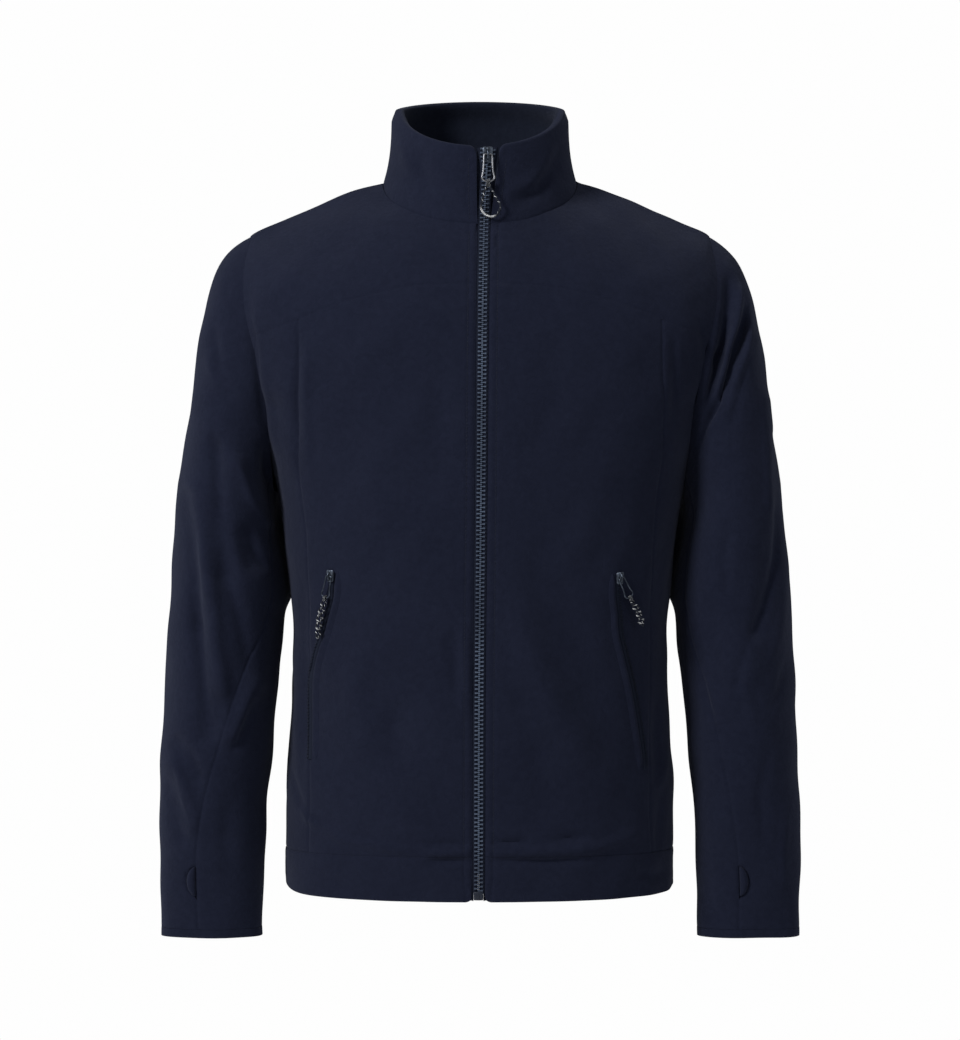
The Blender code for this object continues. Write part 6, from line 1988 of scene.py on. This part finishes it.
def grained_material(name, roughness, sheen, specular, scale, dark, light, depth, strength):
    """A plain material of two near shades with one fine grain."""
    look = Shading(name, roughness, sheen=sheen, specular=specular)
    grain = look.noise(scale)
    return look.finished(look.mixed(grain, dark, light), (grain, depth, strength))


def linked(thing):
    """An object put into the scene."""
    bpy.context.scene.collection.objects.link(thing)
    return thing


def camera():
    """The photograph's camera: level, straight in front, at the height of the waist."""
    data = bpy.data.cameras.new("camera")
    data.sensor_width = SENSOR
    data.lens = LENS
    data.clip_end = FAR_END
    eye = linked(bpy.data.objects.new("camera", data))
    eye.location = EYE
    eye.rotation_euler = (math.pi / 2, 0, 0)
    bpy.context.scene.camera = eye
    bpy.context.scene.view_settings.view_transform = "Standard"


def area_light(name, place, target, size, power, colour):
    """A rectangular lamp aimed at a target."""
    data = bpy.data.lights.new(name, "AREA")
    data.shape = "RECTANGLE"
    data.size, data.size_y = size
    data.energy = power
    data.color = colour
    lamp = linked(bpy.data.objects.new(name, data))
    lamp.location = place
    lamp.rotation_euler = (Vector(target) - Vector(place)).to_track_quat("-Z", "Y").to_euler()
    return lamp


def stage():
    """The pale floor and the studio light."""
    world = bpy.data.worlds.new("studio")
    world.use_nodes = True
    nodes = world.node_tree.nodes
    sky = nodes["Background"]
    sky.inputs["Color"].default_value = WORLD_COLOUR
    ray = nodes.new("ShaderNodeLightPath")
    change = nodes.new("ShaderNodeMapRange")
    change.inputs["To Min"].default_value = WORLD_ON_CLOTH
    change.inputs["To Max"].default_value = WORLD_STRENGTH
    world.node_tree.links.new(ray.outputs["Is Camera Ray"], change.inputs["Value"])
    world.node_tree.links.new(change.outputs["Result"], sky.inputs["Strength"])
    bpy.context.scene.world = world
    turn = 2 * np.pi * np.arange(FLOOR_SIDES) / FLOOR_SIDES
    points = [(0, 0, FLOOR_Z)]
    points += [(radius * math.cos(t), radius * math.sin(t), FLOOR_Z - drop) for radius, drop in FLOOR_RINGS
               for t in turn]
    faces = [(0, 1 + i, 1 + (i + 1) % FLOOR_SIDES) for i in range(FLOOR_SIDES)]
    faces += (grid_faces(len(FLOOR_RINGS), FLOOR_SIDES)[:, [0, 3, 2, 1]] + 1).tolist()
    grain = grained_material("pale floor", 0.85, 0.0, 0.2, 60.0, FLOOR_PALE, FLOOR_WHITE, 0.0003, 0.1)
    floor = smooth_object("floor", points, faces, grain)
    lamps = [area_light(*row) for row in LAMPS]


FLEECE = fleece_material("navy fleece", NAVY_DEEP, NAVY_NAP, NAVY_FLECK)
# The darker fleece is painted shade inside the collar
SHADED_INSIDE_FLEECE = fleece_material("navy fleece darkened as painted shade inside the collar", SHADED_INSIDE_DEEP, SHADED_INSIDE_NAP, NAVY_NAP)
BOX_MATERIAL = teeth_material("zip box", BOX_DARK, BOX_LIGHT, 0.3)
TAPE = tape_material()
TEETH_MATERIAL = teeth_material("moulded teeth", TEETH_DARK, TEETH_LIGHT, 0.35)
# The coil is darkened as painted shade of the pocket's recess
SHADED_COIL_MATERIAL = teeth_material("pocket coil with painted shade", COIL_SHADED_DARK, COIL_SHADED_LIGHT, 0.08)
# The lighter edges of both metals are partly painted glints
METAL = metal_material("dull zip metal", METAL_RUBBED_GLINT, 0.53)
TAB_METAL = metal_material("tab metal with rubbed edges and painted glints", METAL_LIGHT, 0.50)
MAIN_BRAID = braid_material("flecked cord of the main pull", 0.86, 33, 50)
POCKET_BRAID = braid_material("flecked cord", 0.50, -20, -10)
THREAD_MATERIAL = grained_material("sewing thread", 0.7, 0.05, 0.1, 2200.0, THREAD_DARK, THREAD_LIGHT,
                                   0.0001, 0.5)

camera()
main_place, main_hinge = main_places()
main_cord_piece(main_hinge)
pocket_cord_piece(1)
pocket_cord_piece(-1)

fronts = []
for side in (1, -1):
    panels = front_panels(side)
    fronts += panels
    sleeve_panels(side)
    thumb_facing(side)
    cuff_binding(side)
    zip_teeth(side)
    zip_tape(side)
    pocket(side, cloth_under(panels))
back_panels()
fronts += hem_bands()
collar_cloth = collar()
zip_box()
slider_piece("main_slider", main_place, 1.0, True)
tab_piece("main_pull", main_hinge, 1.0, "main_tab", TAB_METAL)
front_stitches(cloth_under(fronts), cloth_under([collar_cloth]))
stage()
